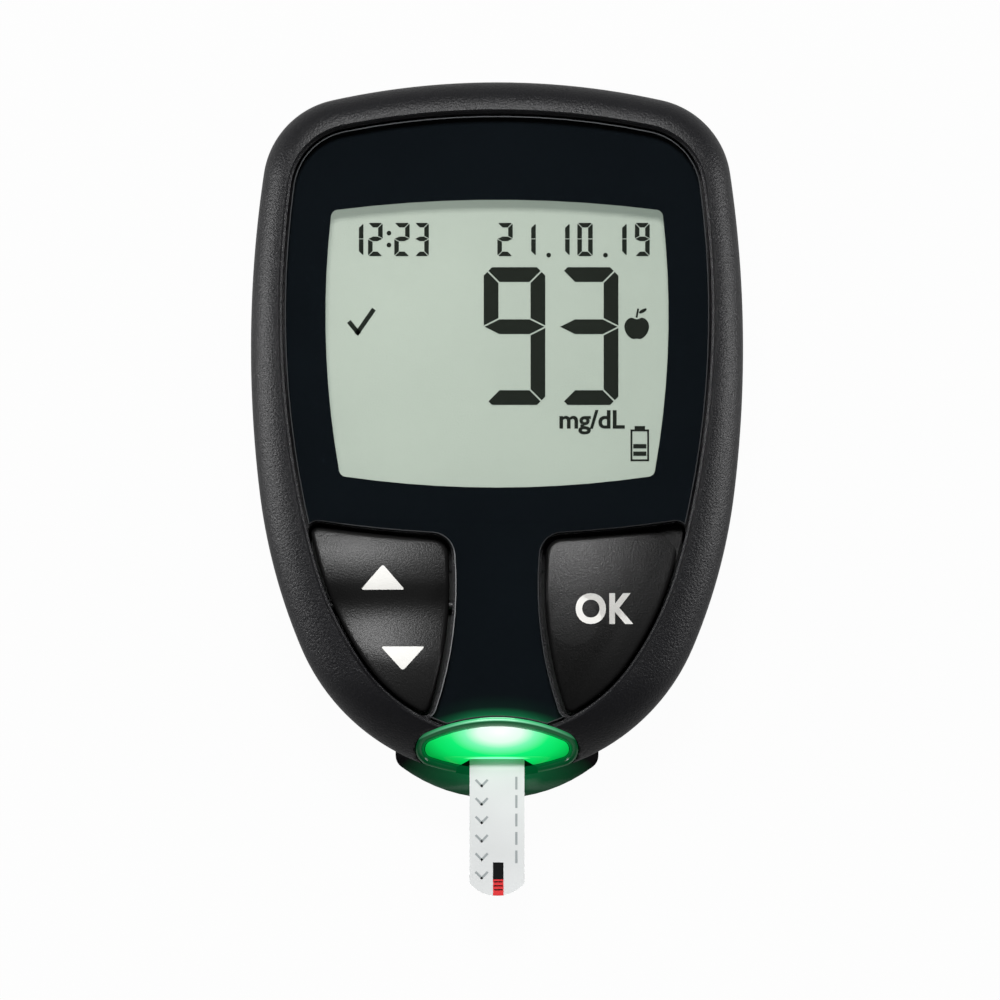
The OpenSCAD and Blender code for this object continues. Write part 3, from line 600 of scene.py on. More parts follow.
class Loft:
    """A skin that grows ring by ring over one or more outlines with as many points each."""

    def __init__(self) -> None:
        """Starts with nothing."""
        self.mesh = bmesh.new()
        self.ring: list[bmesh.types.BMVert] = []
        self.first: list[bmesh.types.BMVert] = []

    def level(self, places: Sequence[Vector]) -> Loft:
        """Adds a ring and joins it to the last one.

        Args:
            places: Where the ring's points lie.

        Returns:
            This loft.
        """
        if not self.ring:
            made = bmesh.ops.create_circle(self.mesh, segments=len(places), radius=1.0)
            self.ring = self.first = list(made["verts"])
        else:
            edges = [self.mesh.edges.get((a, b)) for a, b in zip(self.ring, self.ring[1:] + self.ring[:1])]
            made = bmesh.ops.extrude_edge_only(self.mesh, edges=edges)
            fresh = {v for v in made["geom"] if isinstance(v, bmesh.types.BMVert)}
            self.ring = [next(e.other_vert(v) for e in v.link_edges if e.other_vert(v) in fresh) for v in self.ring]
        for vert, place in zip(self.ring, places):
            vert.co = place
        return self

    def close(self) -> Loft:
        """Joins the last ring to the first."""
        loops = [
            [self.mesh.edges.get((a, b)) for a, b in zip(ring, ring[1:] + ring[:1])]
            for ring in (self.first, self.ring)
        ]
        bmesh.ops.bridge_loops(self.mesh, edges=loops[0] + loops[1])
        return self

    def cap(self, top: bool = True) -> list[bmesh.types.BMFace]:
        """Closes the top or the bottom with one flat face."""
        ring = self.ring if top else self.first
        edges = [self.mesh.edges.get((a, b)) for a, b in zip(ring, ring[1:] + ring[:1])]
        return [f for f in bmesh.ops.contextual_create(self.mesh, geom=edges)["faces"]]

    def done(self) -> bmesh.types.BMesh:
        """Turns all faces outwards and hands the mesh over."""
        bmesh.ops.recalc_face_normals(self.mesh, faces=self.mesh.faces)
        return self.mesh


def slice_grid(shape: bmesh.types.BMesh, faces: Sequence[bmesh.types.BMFace], pitch: float) -> None:
    """Cuts flat faces along a square grid, so that they can be curved.

    Args:
        shape: The shape that the faces belong to.
        faces: The faces.
        pitch: The grid's pitch.
    """
    marked = set(faces)
    for axis in (0, 1):
        values = [v.co[axis] for f in marked for v in f.verts]
        low, high = math.ceil(min(values) / pitch), math.floor(max(values) / pitch)
        for k in range(low, high + 1):
            where, facing = [0.0, 0.0, 0.0], [0.0, 0.0, 0.0]
            where[axis], facing[axis] = k * pitch, 1.0
            geom = list(marked) + list({e for f in marked for e in f.edges}) + list({v for f in marked for v in f.verts})
            made = bmesh.ops.bisect_plane(shape, geom=geom, dist=1e-4, plane_co=where, plane_no=facing)
            marked = {g for g in made["geom"] if isinstance(g, bmesh.types.BMFace)}


# The meter's outlines and surfaces


@dataclass
class Shield:
    """A shield shape: five arcs down its right side, each smooth with the next."""

    width: float
    length: float
    top: float
    corner_r: float
    side_r: float
    turns: tuple[float, float, float, float]
    steps: tuple[int, int, int, int, int] = (24, 22, 26, 18, 56)

    def outline(self) -> Outline:
        """Sweeps a point round the arcs, from the left end of the top edge.

        Returns:
            The outline, anticlockwise.
        """
        heading = lambda angle: Vector((math.sin(angle), math.cos(angle)))
        s1, s2, s3, s4 = (math.radians(sum(self.turns[: i + 1])) for i in range(4))
        rc, rs = self.corner_r, self.side_r
        top_r = rc + (self.width / 2 - rs - (rc - rs) * math.sin(s2)) / math.sin(s1)
        across = -((top_r - rc) * math.sin(s1) + (rc - rs) * math.sin(s2) + rs * math.sin(s3))
        along = top_r - self.length - (top_r - rc) * math.cos(s1) - (rc - rs) * math.cos(s2) - rs * math.cos(s3)
        det = math.sin(s4) * (math.cos(s4) - math.cos(s3)) - (math.sin(s4) - math.sin(s3)) * (math.cos(s4) + 1)
        flank_r = (math.sin(s4) * along - (math.cos(s4) + 1) * across) / det
        toe_r = ((math.sin(s4) - math.sin(s3)) * along - (math.cos(s4) - math.cos(s3)) * across) / det
        c1 = Vector((0.0, self.top - top_r))
        c2 = c1 + (top_r - rc) * heading(s1)
        c3 = c2 + (rc - rs) * heading(s2)
        c4 = c3 + (rs - flank_r) * heading(s3)
        c5 = c4 + (flank_r - toe_r) * heading(s4)
        mirrored = [Vector((-c.x, c.y)) for c in (c4, c3, c2)]
        full = 2 * math.pi
        arcs = [
            (c1, -s1, s1, self.steps[0]),
            (c2, s1, s2, self.steps[1]),
            (c3, s2, s3, self.steps[2]),
            (c4, s3, s4, self.steps[3]),
            (c5, s4, full - s4, self.steps[4]),
            (mirrored[0], full - s4, full - s3, self.steps[3]),
            (mirrored[1], full - s3, full - s2, self.steps[2]),
            (mirrored[2], full - s2, full - s1, self.steps[1]),
        ]
        path = bmesh.new()
        here = bmesh.ops.create_vert(path, co=(*(c1 + top_r * heading(-s1)), 0.0))["vert"][0]
        points, normals = [], []
        for centre, start, end, steps in arcs:
            for k in range(steps):
                points.append(Vector(here.co[:2]))
                normals.append(heading(start + (end - start) * k / steps))
                made = bmesh.ops.spin(
                    path, geom=[here], cent=(*centre, 0.0), axis=DOWN, angle=(end - start) / steps, steps=1
                )
                here = made["geom_last"][0]
        path.free()
        return Outline(points[::-1], normals[::-1])


TOP_Y = 40.8
HOUSING_SHAPE = Shield(56.0, 79.1, TOP_Y, 10.0, 135.0, (12.5, 69.0, 15.5, 16.0))
RECESS_SHAPE = Shield(49.0, 70.75, TOP_Y - 3.5, 7.6, 108.0, (11.5, 70.7, 23.0, 20.5))


@dataclass(frozen=True)
class Nose:
    """The curve by which the housing's top falls to the strip port."""

    top: float = 17.6
    start_y: float = -26.54
    radius: float = 14.0
    seam: float = 9.0

    def height(self, y: float) -> float:
        """Gives the height of the rim at a place along Y."""
        past = max(0.0, self.start_y - y)
        return self.top - self.radius + math.sqrt(max(1.0, self.radius**2 - past**2))

    def lowered(self, z: float) -> Callable[[Vector], float]:
        """Gives a height that sinks in step with the rim, for a skin's level."""
        return lambda p: self.seam + (z - self.seam) * (self.height(p.y) - self.seam) / (self.top - self.seam)

    def under(self, depth: float, foot: float) -> Callable[[Vector], float]:
        """Gives a height that stays at a depth under the nose."""
        radius = self.radius - depth
        return lambda p: max(
            foot, self.top - self.radius + math.sqrt(max(0.1, radius**2 - max(0.0, self.start_y - p.y) ** 2))
        )

    def below(self, z: float, clear: float) -> Callable[[Vector], float]:
        """Gives a height that stays level until the nose comes down to it."""
        return lambda p: min(z, self.height(p.y) - clear)


NOSE = Nose()
FRAME_NODES: dict[str, bpy.types.Object] = {}


@dataclass
class Housing:
    """The front and rear housings."""

    top: float = 17.6
    seam: float = 9.0
    # Rounding of the rim, and how far in it ends at the edge of the recess
    rim_r: float = 3.9
    rim_w: float = 3.14
    rim_steps: int = 14
    # Levels from that edge down into the recess: inset, height, and how far under the nose they stay
    recess: tuple[tuple[float, float, float], ...] = (
        (-0.33, 17.54, 0.06),
        (-0.28, 17.38, 0.12),
        (-0.2, 16.95, 0.2),
        (-0.15, 16.72, 0.26),
        (-0.08, 16.64, 0.3),
        (0.04, 16.62, 0.32),
        (0.1, 16.56, 0.36),
        (0.12, 16.3, 0.5),
        (0.12, 12.75, 0.7),
    )
    wall: float = 1.8

    def build(self) -> None:
        """Builds both housings and dresses them."""
        self.build_front()
        self.build_rear()

    def build_front(self) -> None:
        """Lofts the shell over the rim and cuts the strip port out of its toe."""
        outer, inner = HOUSING_SHAPE.outline(), RECESS_SHAPE.outline()
        shell = Loft()
        shell.level(outer.at(0.25, self.seam)).level(outer.at(0.0, self.seam + 0.2))
        crest = [p.to_2d() for p in inner.at(self.recess[0][0], 0.0)]
        end = math.acos(1 - self.rim_w / self.rim_r)
        foot = self.top - self.rim_r * math.sin(end)
        for k in range(self.rim_steps + 1):
            turn = end * k / self.rim_steps
            share = (1 - math.cos(turn)) * self.rim_r / self.rim_w
            height = NOSE.lowered(foot + self.rim_r * math.sin(turn))
            between = [p.lerp(q, share) for p, q in zip(outer.points, crest)]
            shell.level([Vector((p.x, p.y, height(p))) for p in between])
        for inset, z, clear in self.recess:
            shell.level(inner.at(inset, NOSE.below(z, clear)))
        shell.level(outer.at(self.wall, NOSE.below(12.75, 0.7)))
        shell.level(outer.at(self.wall, 9.0))
        shell.close()
        port = Loft()
        opening = Outline.section("port_bezel", 9.85, 0.3)
        port.level(opening.at(-0.1, 9.8)).level(opening.at(-0.1, 19.0))
        port.cap()
        port.cap(top=False)
        solid = cut_away(shell.done(), port.done())
        recess = Loft().level(inner.at(0.0, 8.0)).level(inner.at(0.0, 15.1))
        recess.cap()
        recess.cap(top=False)
        plate = cut_away(cad_solid("front_housing"), recess.done(), keep_inside=True)
        mesh = bpy.data.meshes.new("plate")
        plate.to_mesh(mesh)
        plate.free()
        solid.from_mesh(mesh)
        bpy.data.meshes.remove(mesh)
        finish_piece("front_shell", solid, HOUSING.build(), Body.METER, ["front_housing"], 40.0)

    def build_rear(self) -> None:
        """Smooths the rear housing."""
        finish_piece("rear_shell", cad_solid("rear_housing"), CHIN_PAINTED_GLOW.build(), Body.METER, ["rear_housing"], 25.0)


@dataclass
class BatteryBay:
    """The battery cover with its cells and contacts."""

    def build(self) -> None:
        """Smooths the cover and dresses the rest."""
        finish_piece("back_cover", cad_solid("battery_cover"), BACK.build(), Body.COVER, ["battery_cover"], 25.0)
        dress(NICKEL, "coin_cell_left", "coin_cell_right", "battery_clips", "battery_springs", "case_screws")


def dress(finish: Finish | ClearSheet, *nodes: str) -> None:
    """Gives CAD nodes a finish."""
    material = finish.build()
    for node in nodes:
        slots = FRAME_NODES[node].data.materials
        slots.clear()
        slots.append(material)
        LOG.info("%s: %s", node, material.name)


@dataclass
class Lens:
    """The clear lens, the print behind it and its adhesive."""

    top_z: float = 16.5
    # Just clear of the print, so that the two don't share a plane
    foot_z: float = 15.33
    edge_r: float = 0.12

    def build(self) -> None:
        """Lofts the lens with a chamfered edge whose grey is a painted highlight, and dresses what lies under it."""
        outline = Outline.section("front_lens", 15.9, 0.22)
        lens = Loft().level(outline.at(0.0, self.foot_z)).level(outline.at(0.0, self.top_z - self.edge_r))
        walls = set(lens.mesh.faces)
        lens.level(outline.at(self.edge_r, self.top_z))
        edge = set(lens.mesh.faces) - walls
        # A narrow level ring keeps the edge's shading out of the flat face
        lens.level(outline.at(self.edge_r + 0.06, self.top_z))
        lens.cap()
        lens.cap(top=False)
        # The walls take the film with its painted port glow, the chamfered edge the grey of its painted highlight
        for index, faces in ((1, walls), (2, edge)):
            for face in faces:
                face.material_index = index
        printed = PRINT_PAINTED_GLOW.build()
        piece = finish_piece("clear_lens", lens.done(), LENS.build(), Body.METER, ["front_lens"], 25.0)
        piece.data.materials.append(printed)
        piece.data.materials.append(EDGE_PAINTED_HIGHLIGHT.build())
        finish_piece("window_print", cad_solid("lens_print"), printed, Body.METER, ["lens_print"])
        dress(ADHESIVE, "lens_adhesive")


class Bar(Enum):
    """The bars of a seven-bar digit."""

    TOP = "a"
    UPPER_RIGHT = "b"
    LOWER_RIGHT = "c"
    BOTTOM = "d"
    LOWER_LEFT = "e"
    UPPER_LEFT = "f"
    MIDDLE = "g"


LIT = {"0": "abcdef", "1": "bc", "2": "abged", "3": "abgcd", "9": "abcdfg"}


@dataclass
class Digit:
    """A digit of mitred bars."""

    value: str
    left: float
    right: float
    top: float
    bottom: float
    stroke: float
    middle: float
    gap: float
    chamfer: float

    def draw(self, shape: bmesh.types.BMesh) -> None:
        """Draws the lit bars as flat faces at z = 0.

        Args:
            shape: The shape that they are added to.
        """
        width, height = self.right - self.left, self.top - self.bottom
        centre = Vector(((self.left + self.right) / 2, (self.top + self.bottom) / 2, 0.0))
        ring = bmesh.new()
        bmesh.ops.create_grid(
            ring,
            x_segments=1,
            y_segments=1,
            size=0.5,
            matrix=Matrix.Translation(centre) @ Matrix.Diagonal((width, height, 1.0, 1.0)),
        )
        whole = ring.faces[:]
        bmesh.ops.inset_individual(ring, faces=whole, thickness=self.stroke, use_even_offset=True)
        bmesh.ops.delete(ring, geom=whole, context="FACES")
        bmesh.ops.bisect_plane(
            ring, geom=ring.verts[:] + ring.edges[:] + ring.faces[:], plane_co=(0, self.middle, 0), plane_no=(0, 1, 0)
        )
        for x, y in ((-1, -1), (-1, 1), (1, -1), (1, 1)):
            corner = centre + Vector((x * (width / 2 - self.chamfer / 2), y * (height / 2 - self.chamfer / 2), 0.0))
            bmesh.ops.bisect_plane(
                ring,
                geom=ring.verts[:] + ring.edges[:] + ring.faces[:],
                plane_co=corner,
                plane_no=(x, y, 0),
                clear_outer=True,
            )
        dark = [f for f in ring.faces if self.which(f.calc_center_median()) not in LIT[self.value]]
        bmesh.ops.delete(ring, geom=dark, context="FACES")
        if Bar.MIDDLE.value in LIT[self.value]:
            # Turned so that the hexagon's points lie at its left and right ends
            made = bmesh.ops.create_circle(
                ring, cap_ends=True, segments=6, radius=1.0, matrix=Matrix.Rotation(math.pi / 2, 4, "Z")
            )
            tip = width / 2
            for vert in made["verts"]:
                end = abs(vert.co.x) > 0.9
                vert.co = Vector(
                    (
                        centre.x + math.copysign(tip if end else tip - self.stroke, vert.co.x),
                        self.middle + (0.0 if end else math.copysign(self.stroke / 2, vert.co.y)),
                        0.0,
                    )
                )
        bmesh.ops.split_edges(ring, edges=ring.edges)
        # The side bars are mitred where they meet the middle bar
        inner = width / 2 - self.stroke
        for vert in ring.verts:
            aside = abs(vert.co.x - centre.x)
            if abs(vert.co.y - self.middle) < 0.01 and abs(aside - inner) < 0.01 and Bar.MIDDLE.value in LIT[self.value]:
                face = vert.link_faces[0].calc_center_median()
                vert.co.y += math.copysign(self.stroke / 2, face.y - self.middle)
        made = bmesh.ops.inset_individual(ring, faces=ring.faces[:], thickness=self.gap / 2, use_even_offset=True)
        bmesh.ops.delete(ring, geom=made["faces"], context="FACES")
        mesh = bpy.data.meshes.new("digit")
        ring.to_mesh(mesh)
        ring.free()
        shape.from_mesh(mesh)
        bpy.data.meshes.remove(mesh)

    def which(self, place: Vector) -> str:
        """Says which bar a place belongs to."""
        if place.y > self.top - self.stroke:
            return Bar.TOP.value
        if place.y < self.bottom + self.stroke:
            return Bar.BOTTOM.value
        right = place.x > (self.left + self.right) / 2
        if place.y > self.middle:
            return (Bar.UPPER_RIGHT if right else Bar.UPPER_LEFT).value
        return (Bar.LOWER_RIGHT if right else Bar.LOWER_LEFT).value


def add_text(shape: bmesh.types.BMesh, words: str, box: tuple[float, float, float, float], weight: float) -> None:
    """Adds flat generic lettering that fills a box.

    Args:
        shape: The shape that it is added to, at z = 0.
        words: What it says.
        box: Left, right, bottom and top of the lettering.
        weight: How much the strokes are thickened.
    """
    curve = bpy.data.curves.new("lettering", "FONT")
    curve.body = words
    curve.offset = weight
    curve.resolution_u = 6
    item = bpy.data.objects.new("lettering", curve)
    bpy.context.scene.collection.objects.link(item)
    bpy.context.view_layer.update()
    flat = bmesh.new()
    evaluated = item.evaluated_get(bpy.context.evaluated_depsgraph_get())
    flat.from_mesh(evaluated.to_mesh())
    evaluated.to_mesh_clear()
    bpy.data.objects.remove(item)
    bpy.data.curves.remove(curve)
    bmesh.ops.remove_doubles(flat, verts=flat.verts, dist=1e-5)
    low = Vector((min(v.co.x for v in flat.verts), min(v.co.y for v in flat.verts), 0.0))
    high = Vector((max(v.co.x for v in flat.verts), max(v.co.y for v in flat.verts), 0.0))
    left, right, bottom, top = box
    bmesh.ops.translate(flat, vec=-low, verts=flat.verts)
    bmesh.ops.scale(
        flat, vec=((right - left) / (high.x - low.x), (top - bottom) / (high.y - low.y), 1.0), verts=flat.verts
    )
    bmesh.ops.translate(flat, vec=(left, bottom, 0.0), verts=flat.verts)
    mesh = bpy.data.meshes.new("lettering")
    flat.to_mesh(mesh)
    flat.free()
    shape.from_mesh(mesh)
    bpy.data.meshes.remove(mesh)


def thicken(shape: bmesh.types.BMesh, height: Height, thickness: float) -> bmesh.types.BMesh:
    """Gives flat faces a thickness and lifts them.

    Args:
        shape: Flat faces at z = 0.
        height: The height of their underside.
        thickness: How thick they become.

    Returns:
        The same shape, closed.
    """
    for face in shape.faces:
        if face.normal.z < 0:
            face.normal_flip()
    made = bmesh.ops.extrude_face_region(shape, geom=shape.faces[:], use_keep_orig=True)
    upper = {v for v in made["geom"] if isinstance(v, bmesh.types.BMVert)}
    for vert in shape.verts:
        base = height(vert.co) if callable(height) else height
        vert.co.z = base + (thickness if vert in upper else 0.0)
    bmesh.ops.recalc_face_normals(shape, faces=shape.faces)
    return shape


@dataclass
class Display:
    """The liquid crystal display behind the lens."""

    ink_z: float = 13.22
    ink_t: float = 0.04
    big_top: float = 19.86
    big_bottom: float = 4.01
    big_stroke: float = 1.85
    big_middle: float = 13.0
    small_top: float = 24.86
    small_bottom: float = 20.99
    small_stroke: float = 0.6
    small_middle: float = 23.0
    # Left and right ends of the digits, and what they show
    big: tuple[tuple[str, float, float], ...] = (("9", -1.6, 5.58), ("3", 7.0, 13.9))
    small: tuple[tuple[str, float, float], ...] = (
        ("1", -16.98, -15.16),
        ("2", -14.72, -12.97),
        ("2", -11.73, -9.9),
        ("3", -9.4, -7.72),
        ("2", 0.0, 1.83),
        ("1", 2.6, 4.45),
        ("1", 6.46, 8.31),
        ("0", 9.1, 10.93),
        ("1", 12.95, 14.8),
        ("9", 15.65, 17.42),
    )
    dots: tuple[tuple[float, float], ...] = ((-12.3, 23.65), (-12.3, 22.3), (5.88, 21.15), (12.34, 21.15))

    def build(self) -> None:
        """Draws what the display shows and dresses its layers."""
        shape = bmesh.new()
        for value, left, right in self.big:
            Digit(
                value, left, right, self.big_top, self.big_bottom, self.big_stroke, self.big_middle, 0.17, 1.0
            ).draw(shape)
        for value, left, right in self.small:
            Digit(
                value, left, right, self.small_top, self.small_bottom, self.small_stroke, self.small_middle, 0.08, 0.22
            ).draw(shape)
        for x, y in self.dots:
            bmesh.ops.create_circle(
                shape, cap_ends=True, segments=16, radius=0.27, matrix=Matrix.Translation((x, y, 0.0))
            )
        self.draw_check(shape)
        self.draw_fruit(shape)
        self.draw_battery(shape)
        add_text(shape, "mg/dL", (7.1, 14.55, 0.74, 3.53), 0.025)
        thicken(shape, self.ink_z, self.ink_t)
        finish_piece("display_figures", shape, CRYSTAL_INK.build(), Body.METER, crease=20.0)
        self.build_cell()
        dress(REFLECTOR_PAINTED_FILL, "lcd_reflector")
        dress(BLACK_PLASTIC, "lcd_frame")
        dress(ELASTOMER, "zebra_connector")

    def build_cell(self) -> None:
        """Makes the two bonded glasses one clear cell, with the contact ledge at its foot."""
        front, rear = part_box("lcd_front_glass"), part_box("lcd_rear_glass")
        low = Vector((rear[0].x, rear[0].y, rear[0].z)) / MM - Vector((0.0, 0.0, 0.1))
        high = front[1] / MM
        step_z, foot_y = front[0].z / MM, front[0].y / MM
        cell = bmesh.new()
        middle, size = (low + high) / 2, high - low
        bmesh.ops.create_cube(
            cell, size=1.0, matrix=Matrix.Translation(middle) @ Matrix.Diagonal((size.x, size.y, size.z, 1.0))
        )
        bmesh.ops.bisect_plane(
            cell, geom=cell.verts[:] + cell.edges[:] + cell.faces[:], plane_co=(0, 0, step_z), plane_no=(0, 0, 1)
        )
        cell.normal_update()
        ends = [f for f in cell.faces if f.normal.y < -0.9 and f.calc_center_median().z > step_z]
        made = bmesh.ops.extrude_face_region(cell, geom=ends)
        moved = [v for v in made["geom"] if isinstance(v, bmesh.types.BMVert)]
        bmesh.ops.translate(cell, vec=(0.0, foot_y - low.y, 0.0), verts=moved)
        bmesh.ops.delete(cell, geom=ends, context="FACES_ONLY")
        finish_piece(
            "display_cell",
            cell,
            DISPLAY_GLASS.build(),
            Body.METER,
            ["lcd_front_glass", "lcd_rear_glass"],
            20.0,
        )

    def draw_check(self, shape: bmesh.types.BMesh) -> None:
        """Draws the check mark as two bars that meet."""
        for start, end in (((-16.7, 13.4), (-15.85, 12.35)), ((-15.85, 12.35), (-14.15, 14.8))):
            draw_bar(shape, Vector(start), Vector(end), 0.52)

    def draw_fruit(self, shape: bmesh.types.BMesh) -> None:
        """Draws a plain round fruit with a dimple, a stem and a leaf."""
        made = bmesh.ops.create_circle(shape, cap_ends=True, segments=48, radius=1.0)
        for vert in made["verts"]:
            x, y = vert.co.x, vert.co.y
            dimple = 0.35 * math.exp(-((x / 0.3) ** 2)) if y > 0 else 0.15 * math.exp(-((x / 0.25) ** 2))
            vert.co = Vector((15.9 + 1.4 * x * (1 + 0.12 * y), 12.85 + 1.35 * y - math.copysign(dimple, y), 0.0))
        draw_bar(shape, Vector((15.9, 14.15)), Vector((16.05, 14.95)), 0.22)
        bmesh.ops.create_circle(
            shape,
            cap_ends=True,
            segments=16,
            radius=0.5,
            matrix=Matrix.Translation((16.6, 14.8, 0.0))
            @ Matrix.Rotation(0.5, 4, "Z")
            @ Matrix.Diagonal((1.0, 0.4, 1.0, 1.0)),
        )

    def draw_battery(self, shape: bmesh.types.BMesh) -> None:
        """Draws a small battery outline with two bars of charge."""
        left, right, bottom, top = 15.3, 17.2, -2.2, 1.2
        corners = [Vector((left, bottom)), Vector((right, bottom)), Vector((right, top)), Vector((left, top))]
        for a, b in zip(corners, corners[1:] + corners[:1]):
            draw_bar(shape, a, b, 0.22)
        draw_bar(shape, Vector((15.85, 1.5)), Vector((16.65, 1.5)), 0.4)
        for y in (-1.45, -0.6):
            draw_bar(shape, Vector((15.75, y)), Vector((16.75, y)), 0.5)


def draw_bar(shape: bmesh.types.BMesh, start: Vector, end: Vector, width: float) -> None:
    """Draws a straight bar as a flat face at z = 0.

    Args:
        shape: The shape that it is added to.
        start: One end of its middle line.
        end: The other end.
        width: Its width.
    """
    along = end - start
    turn = Matrix.Rotation(math.atan2(along.y, along.x), 4, "Z")
    middle = (start + end) / 2
    bmesh.ops.create_grid(
        shape,
        x_segments=1,
        y_segments=1,
        size=0.5,
        matrix=Matrix.Translation((middle.x, middle.y, 0.0)) @ turn @ Matrix.Diagonal((along.length + width, width, 1, 1)),
    )


@dataclass
class Keys:
    """The scroll rocker and the OK button, with what they press on."""

    cap_bottom: float = 13.9
    edge_r: float = 0.45
    # Along the rocker: the upper pad's crest, the valley and the lower pad's crest, each a place and a height
    up: tuple[float, float] = (-15.7, 16.5)
    valley: tuple[float, float] = (-18.9, 15.95)
    down: tuple[float, float] = (-25.4, 17.05)
    # Radii of the rocker's ends along Y
    up_r: float = 13.0
    down_r: float = 21.0
    # Across the rocker: the middle and the radius at each crest
    up_bow: tuple[float, float] = (-16.2, 45.0)
    down_bow: tuple[float, float] = (-12.8, 20.0)
    # The OK button's highest point, its height there and its radii along X and Y
    ok: tuple[float, float, float, float, float] = (8.8, -20.5, 16.6, 38.0, 36.0)

    def build(self) -> None:
        """Builds the three pads and dresses what lies under them."""
        finish = BUTTON.build()
        ink = MARK_INK.build()
        self.build_key("rocker_cap", "scroll_rocker", self.rocker_face, finish, Body.ROCKER)
        self.build_key("ok_cap", "ok_button", self.ok_face, finish, Body.OK)
        marks = bmesh.new()
        for x, apex, base in ((-12.98, -14.0, -16.9), (-10.7, -26.1, -23.35)):
            self.draw_arrow(marks, x, apex, base)
        self.print_on(marks, self.rocker_face)
        finish_piece("scroll_marks", marks, ink, Body.ROCKER)
        letters = bmesh.new()
        add_text(letters, "O", (8.93, 12.38, -20.8, -17.3), 0.035)
        add_text(letters, "K", (12.75, 15.48, -20.8, -17.3), 0.035)
        self.print_on(letters, self.ok_face)
        finish_piece("ok_mark", letters, ink, Body.OK)
        dress(NICKEL, "snap_domes")
        dress(BLACK_STEEL, "rocker_pin")
        dress(SILICONE, "keypad_mat")

    def rocker_face(self, place: Vector) -> float:
        """Gives the height of the rocker's face, a wave with two crests and a valley between them."""
        y = place.y
        if y > self.up[0]:
            height = self.up[1] - (y - self.up[0]) ** 2 / (2 * self.up_r)
        elif y < self.down[0]:
            height = self.down[1] - (y - self.down[0]) ** 2 / (2 * self.down_r)
        else:
            crest = self.up if y > self.valley[0] else self.down
            share = (y - self.valley[0]) / (crest[0] - self.valley[0])
            height = self.valley[1] + (crest[1] - self.valley[1]) * (1 - math.cos(math.pi * share)) / 2
        share = min(1.0, max(0.0, (self.up[0] - y) / (self.up[0] - self.down[0])))
        middle, radius = (a + (b - a) * share for a, b in zip(self.up_bow, self.down_bow))
        return height - (place.x - middle) ** 2 / (2 * radius)

    def ok_face(self, place: Vector) -> float:
        """Gives the height of the OK button's domed face."""
        x, y, top, across, along = self.ok
        return top - (place.x - x) ** 2 / (2 * across) - (place.y - y) ** 2 / (2 * along)

    def build_key(
        self,
        name: str,
        node: str,
        face: Callable[[Vector], float],
        finish: bpy.types.Material,
        body: Body,
    ) -> None:
        """Lofts a key from its CAD outline and domes its face.

        Args:
            name: The piece's name.
            node: The CAD node that it stands for.
            face: The height of its face at a place.
            finish: Its material.
            body: The body that carries it.
        """
        outline = Outline.section(node, 15.2, 0.22)
        key = Loft().level(outline.at(0.0, self.cap_bottom)).level(outline.at(0.0, lambda p: face(p) - self.edge_r))
        steps = 5
        for k in range(1, steps + 1):
            turn = math.pi / 2 * k / steps
            inset, drop = self.edge_r * (1 - math.cos(turn)), self.edge_r * (1 - math.sin(turn))
            key.level(outline.at(inset, lambda p, drop=drop: face(p) - drop))
        rim = {v: v.co.z for v in key.ring}
        for vert in key.ring:
            vert.co.z = 0.0
        top = key.cap()
        slice_grid(key.mesh, top, 0.5)
        for vert in key.mesh.verts:
            if abs(vert.co.z) < 1e-6:
                vert.co.z = rim.get(vert, face(vert.co))
        key.cap(top=False)
        finish_piece(name, key.done(), finish, body, [node], 50.0)

    def draw_arrow(self, shape: bmesh.types.BMesh, x: float, apex: float, base: float) -> None:
        """Draws a triangle with rounded corners as a flat face."""
        made = bmesh.ops.create_circle(shape, cap_ends=True, segments=3, radius=1.0)
        places = [(x, apex), (x - 2.5, base), (x + 2.5, base)]
        for vert, place in zip(made["verts"], places):
            vert.co = (*place, 0.0)
        bmesh.ops.bevel(
            shape, geom=made["verts"], offset=0.32, segments=5, profile=0.5, affect="VERTICES", material=-1
        )

    def print_on(self, shape: bmesh.types.BMesh, face: Callable[[Vector], float]) -> None:
        """Lays flat marks on a key's face as a thin layer of ink."""
        slice_grid(shape, shape.faces[:], 0.5)
        thicken(shape, lambda p: face(p) - 0.02, 0.045)


@dataclass
class Port:
    """The lit strip port with its ring."""

    foot_z: float = 9.82
    mouth_z: float = 9.9
    # Levels of the ring from its outer wall inwards: inset, and how far it lies under the nose
    ring: tuple[tuple[float, float], ...] = (
        (0.0, 0.6),
        (0.06, 0.42),
        (0.2, 0.34),
        (0.4, 0.42),
        (0.62, 0.62),
        (0.82, 0.9),
        (0.95, 1.2),
    )
    mouth: tuple[tuple[float, float], ...] = (
        (-4.6, -37.15),
        (-5.0, -40.2),
        (5.0, -40.2),
        (4.6, -37.15),
        (2.925, -36.2),
        (-2.925, -36.2),
    )

    def build(self) -> None:
        """Lofts the ring, smooths the light guide and dresses what is behind them."""
        finish_piece(
            "lit_scoop",
            cad_solid("port_light_guide"),
            LIT_ACRYLIC_PAINTED_LIP.build(),
            Body.METER,
            ["port_light_guide"],
            30.0,
        )
        outline = Outline.section("port_bezel", 9.85, 0.25)
        ring = Loft().level(outline.at(0.0, self.foot_z))
        for inset, depth in self.ring:
            ring.level(outline.at(inset, NOSE.under(depth, self.foot_z + 0.1)))
        ring.level(outline.at(0.95, self.foot_z))
        ring.close()
        mouth = Loft()
        corners = [Vector((*place, 0.0)) for place in self.mouth]
        for height in (self.mouth_z, 19.0):
            mouth.level([Vector((c.x, c.y, height)) for c in corners])
        mouth.cap()
        mouth.cap(top=False)
        solid = cut_away(ring.done(), mouth.done())
        finish_piece("port_ring", solid, RING_PAINTED_GLOW.build(), Body.METER, ["port_bezel"], 40.0)
        dress(FRAME_PLASTIC, "strip_connector", "port_led")
        dress(GILT, "strip_contacts")


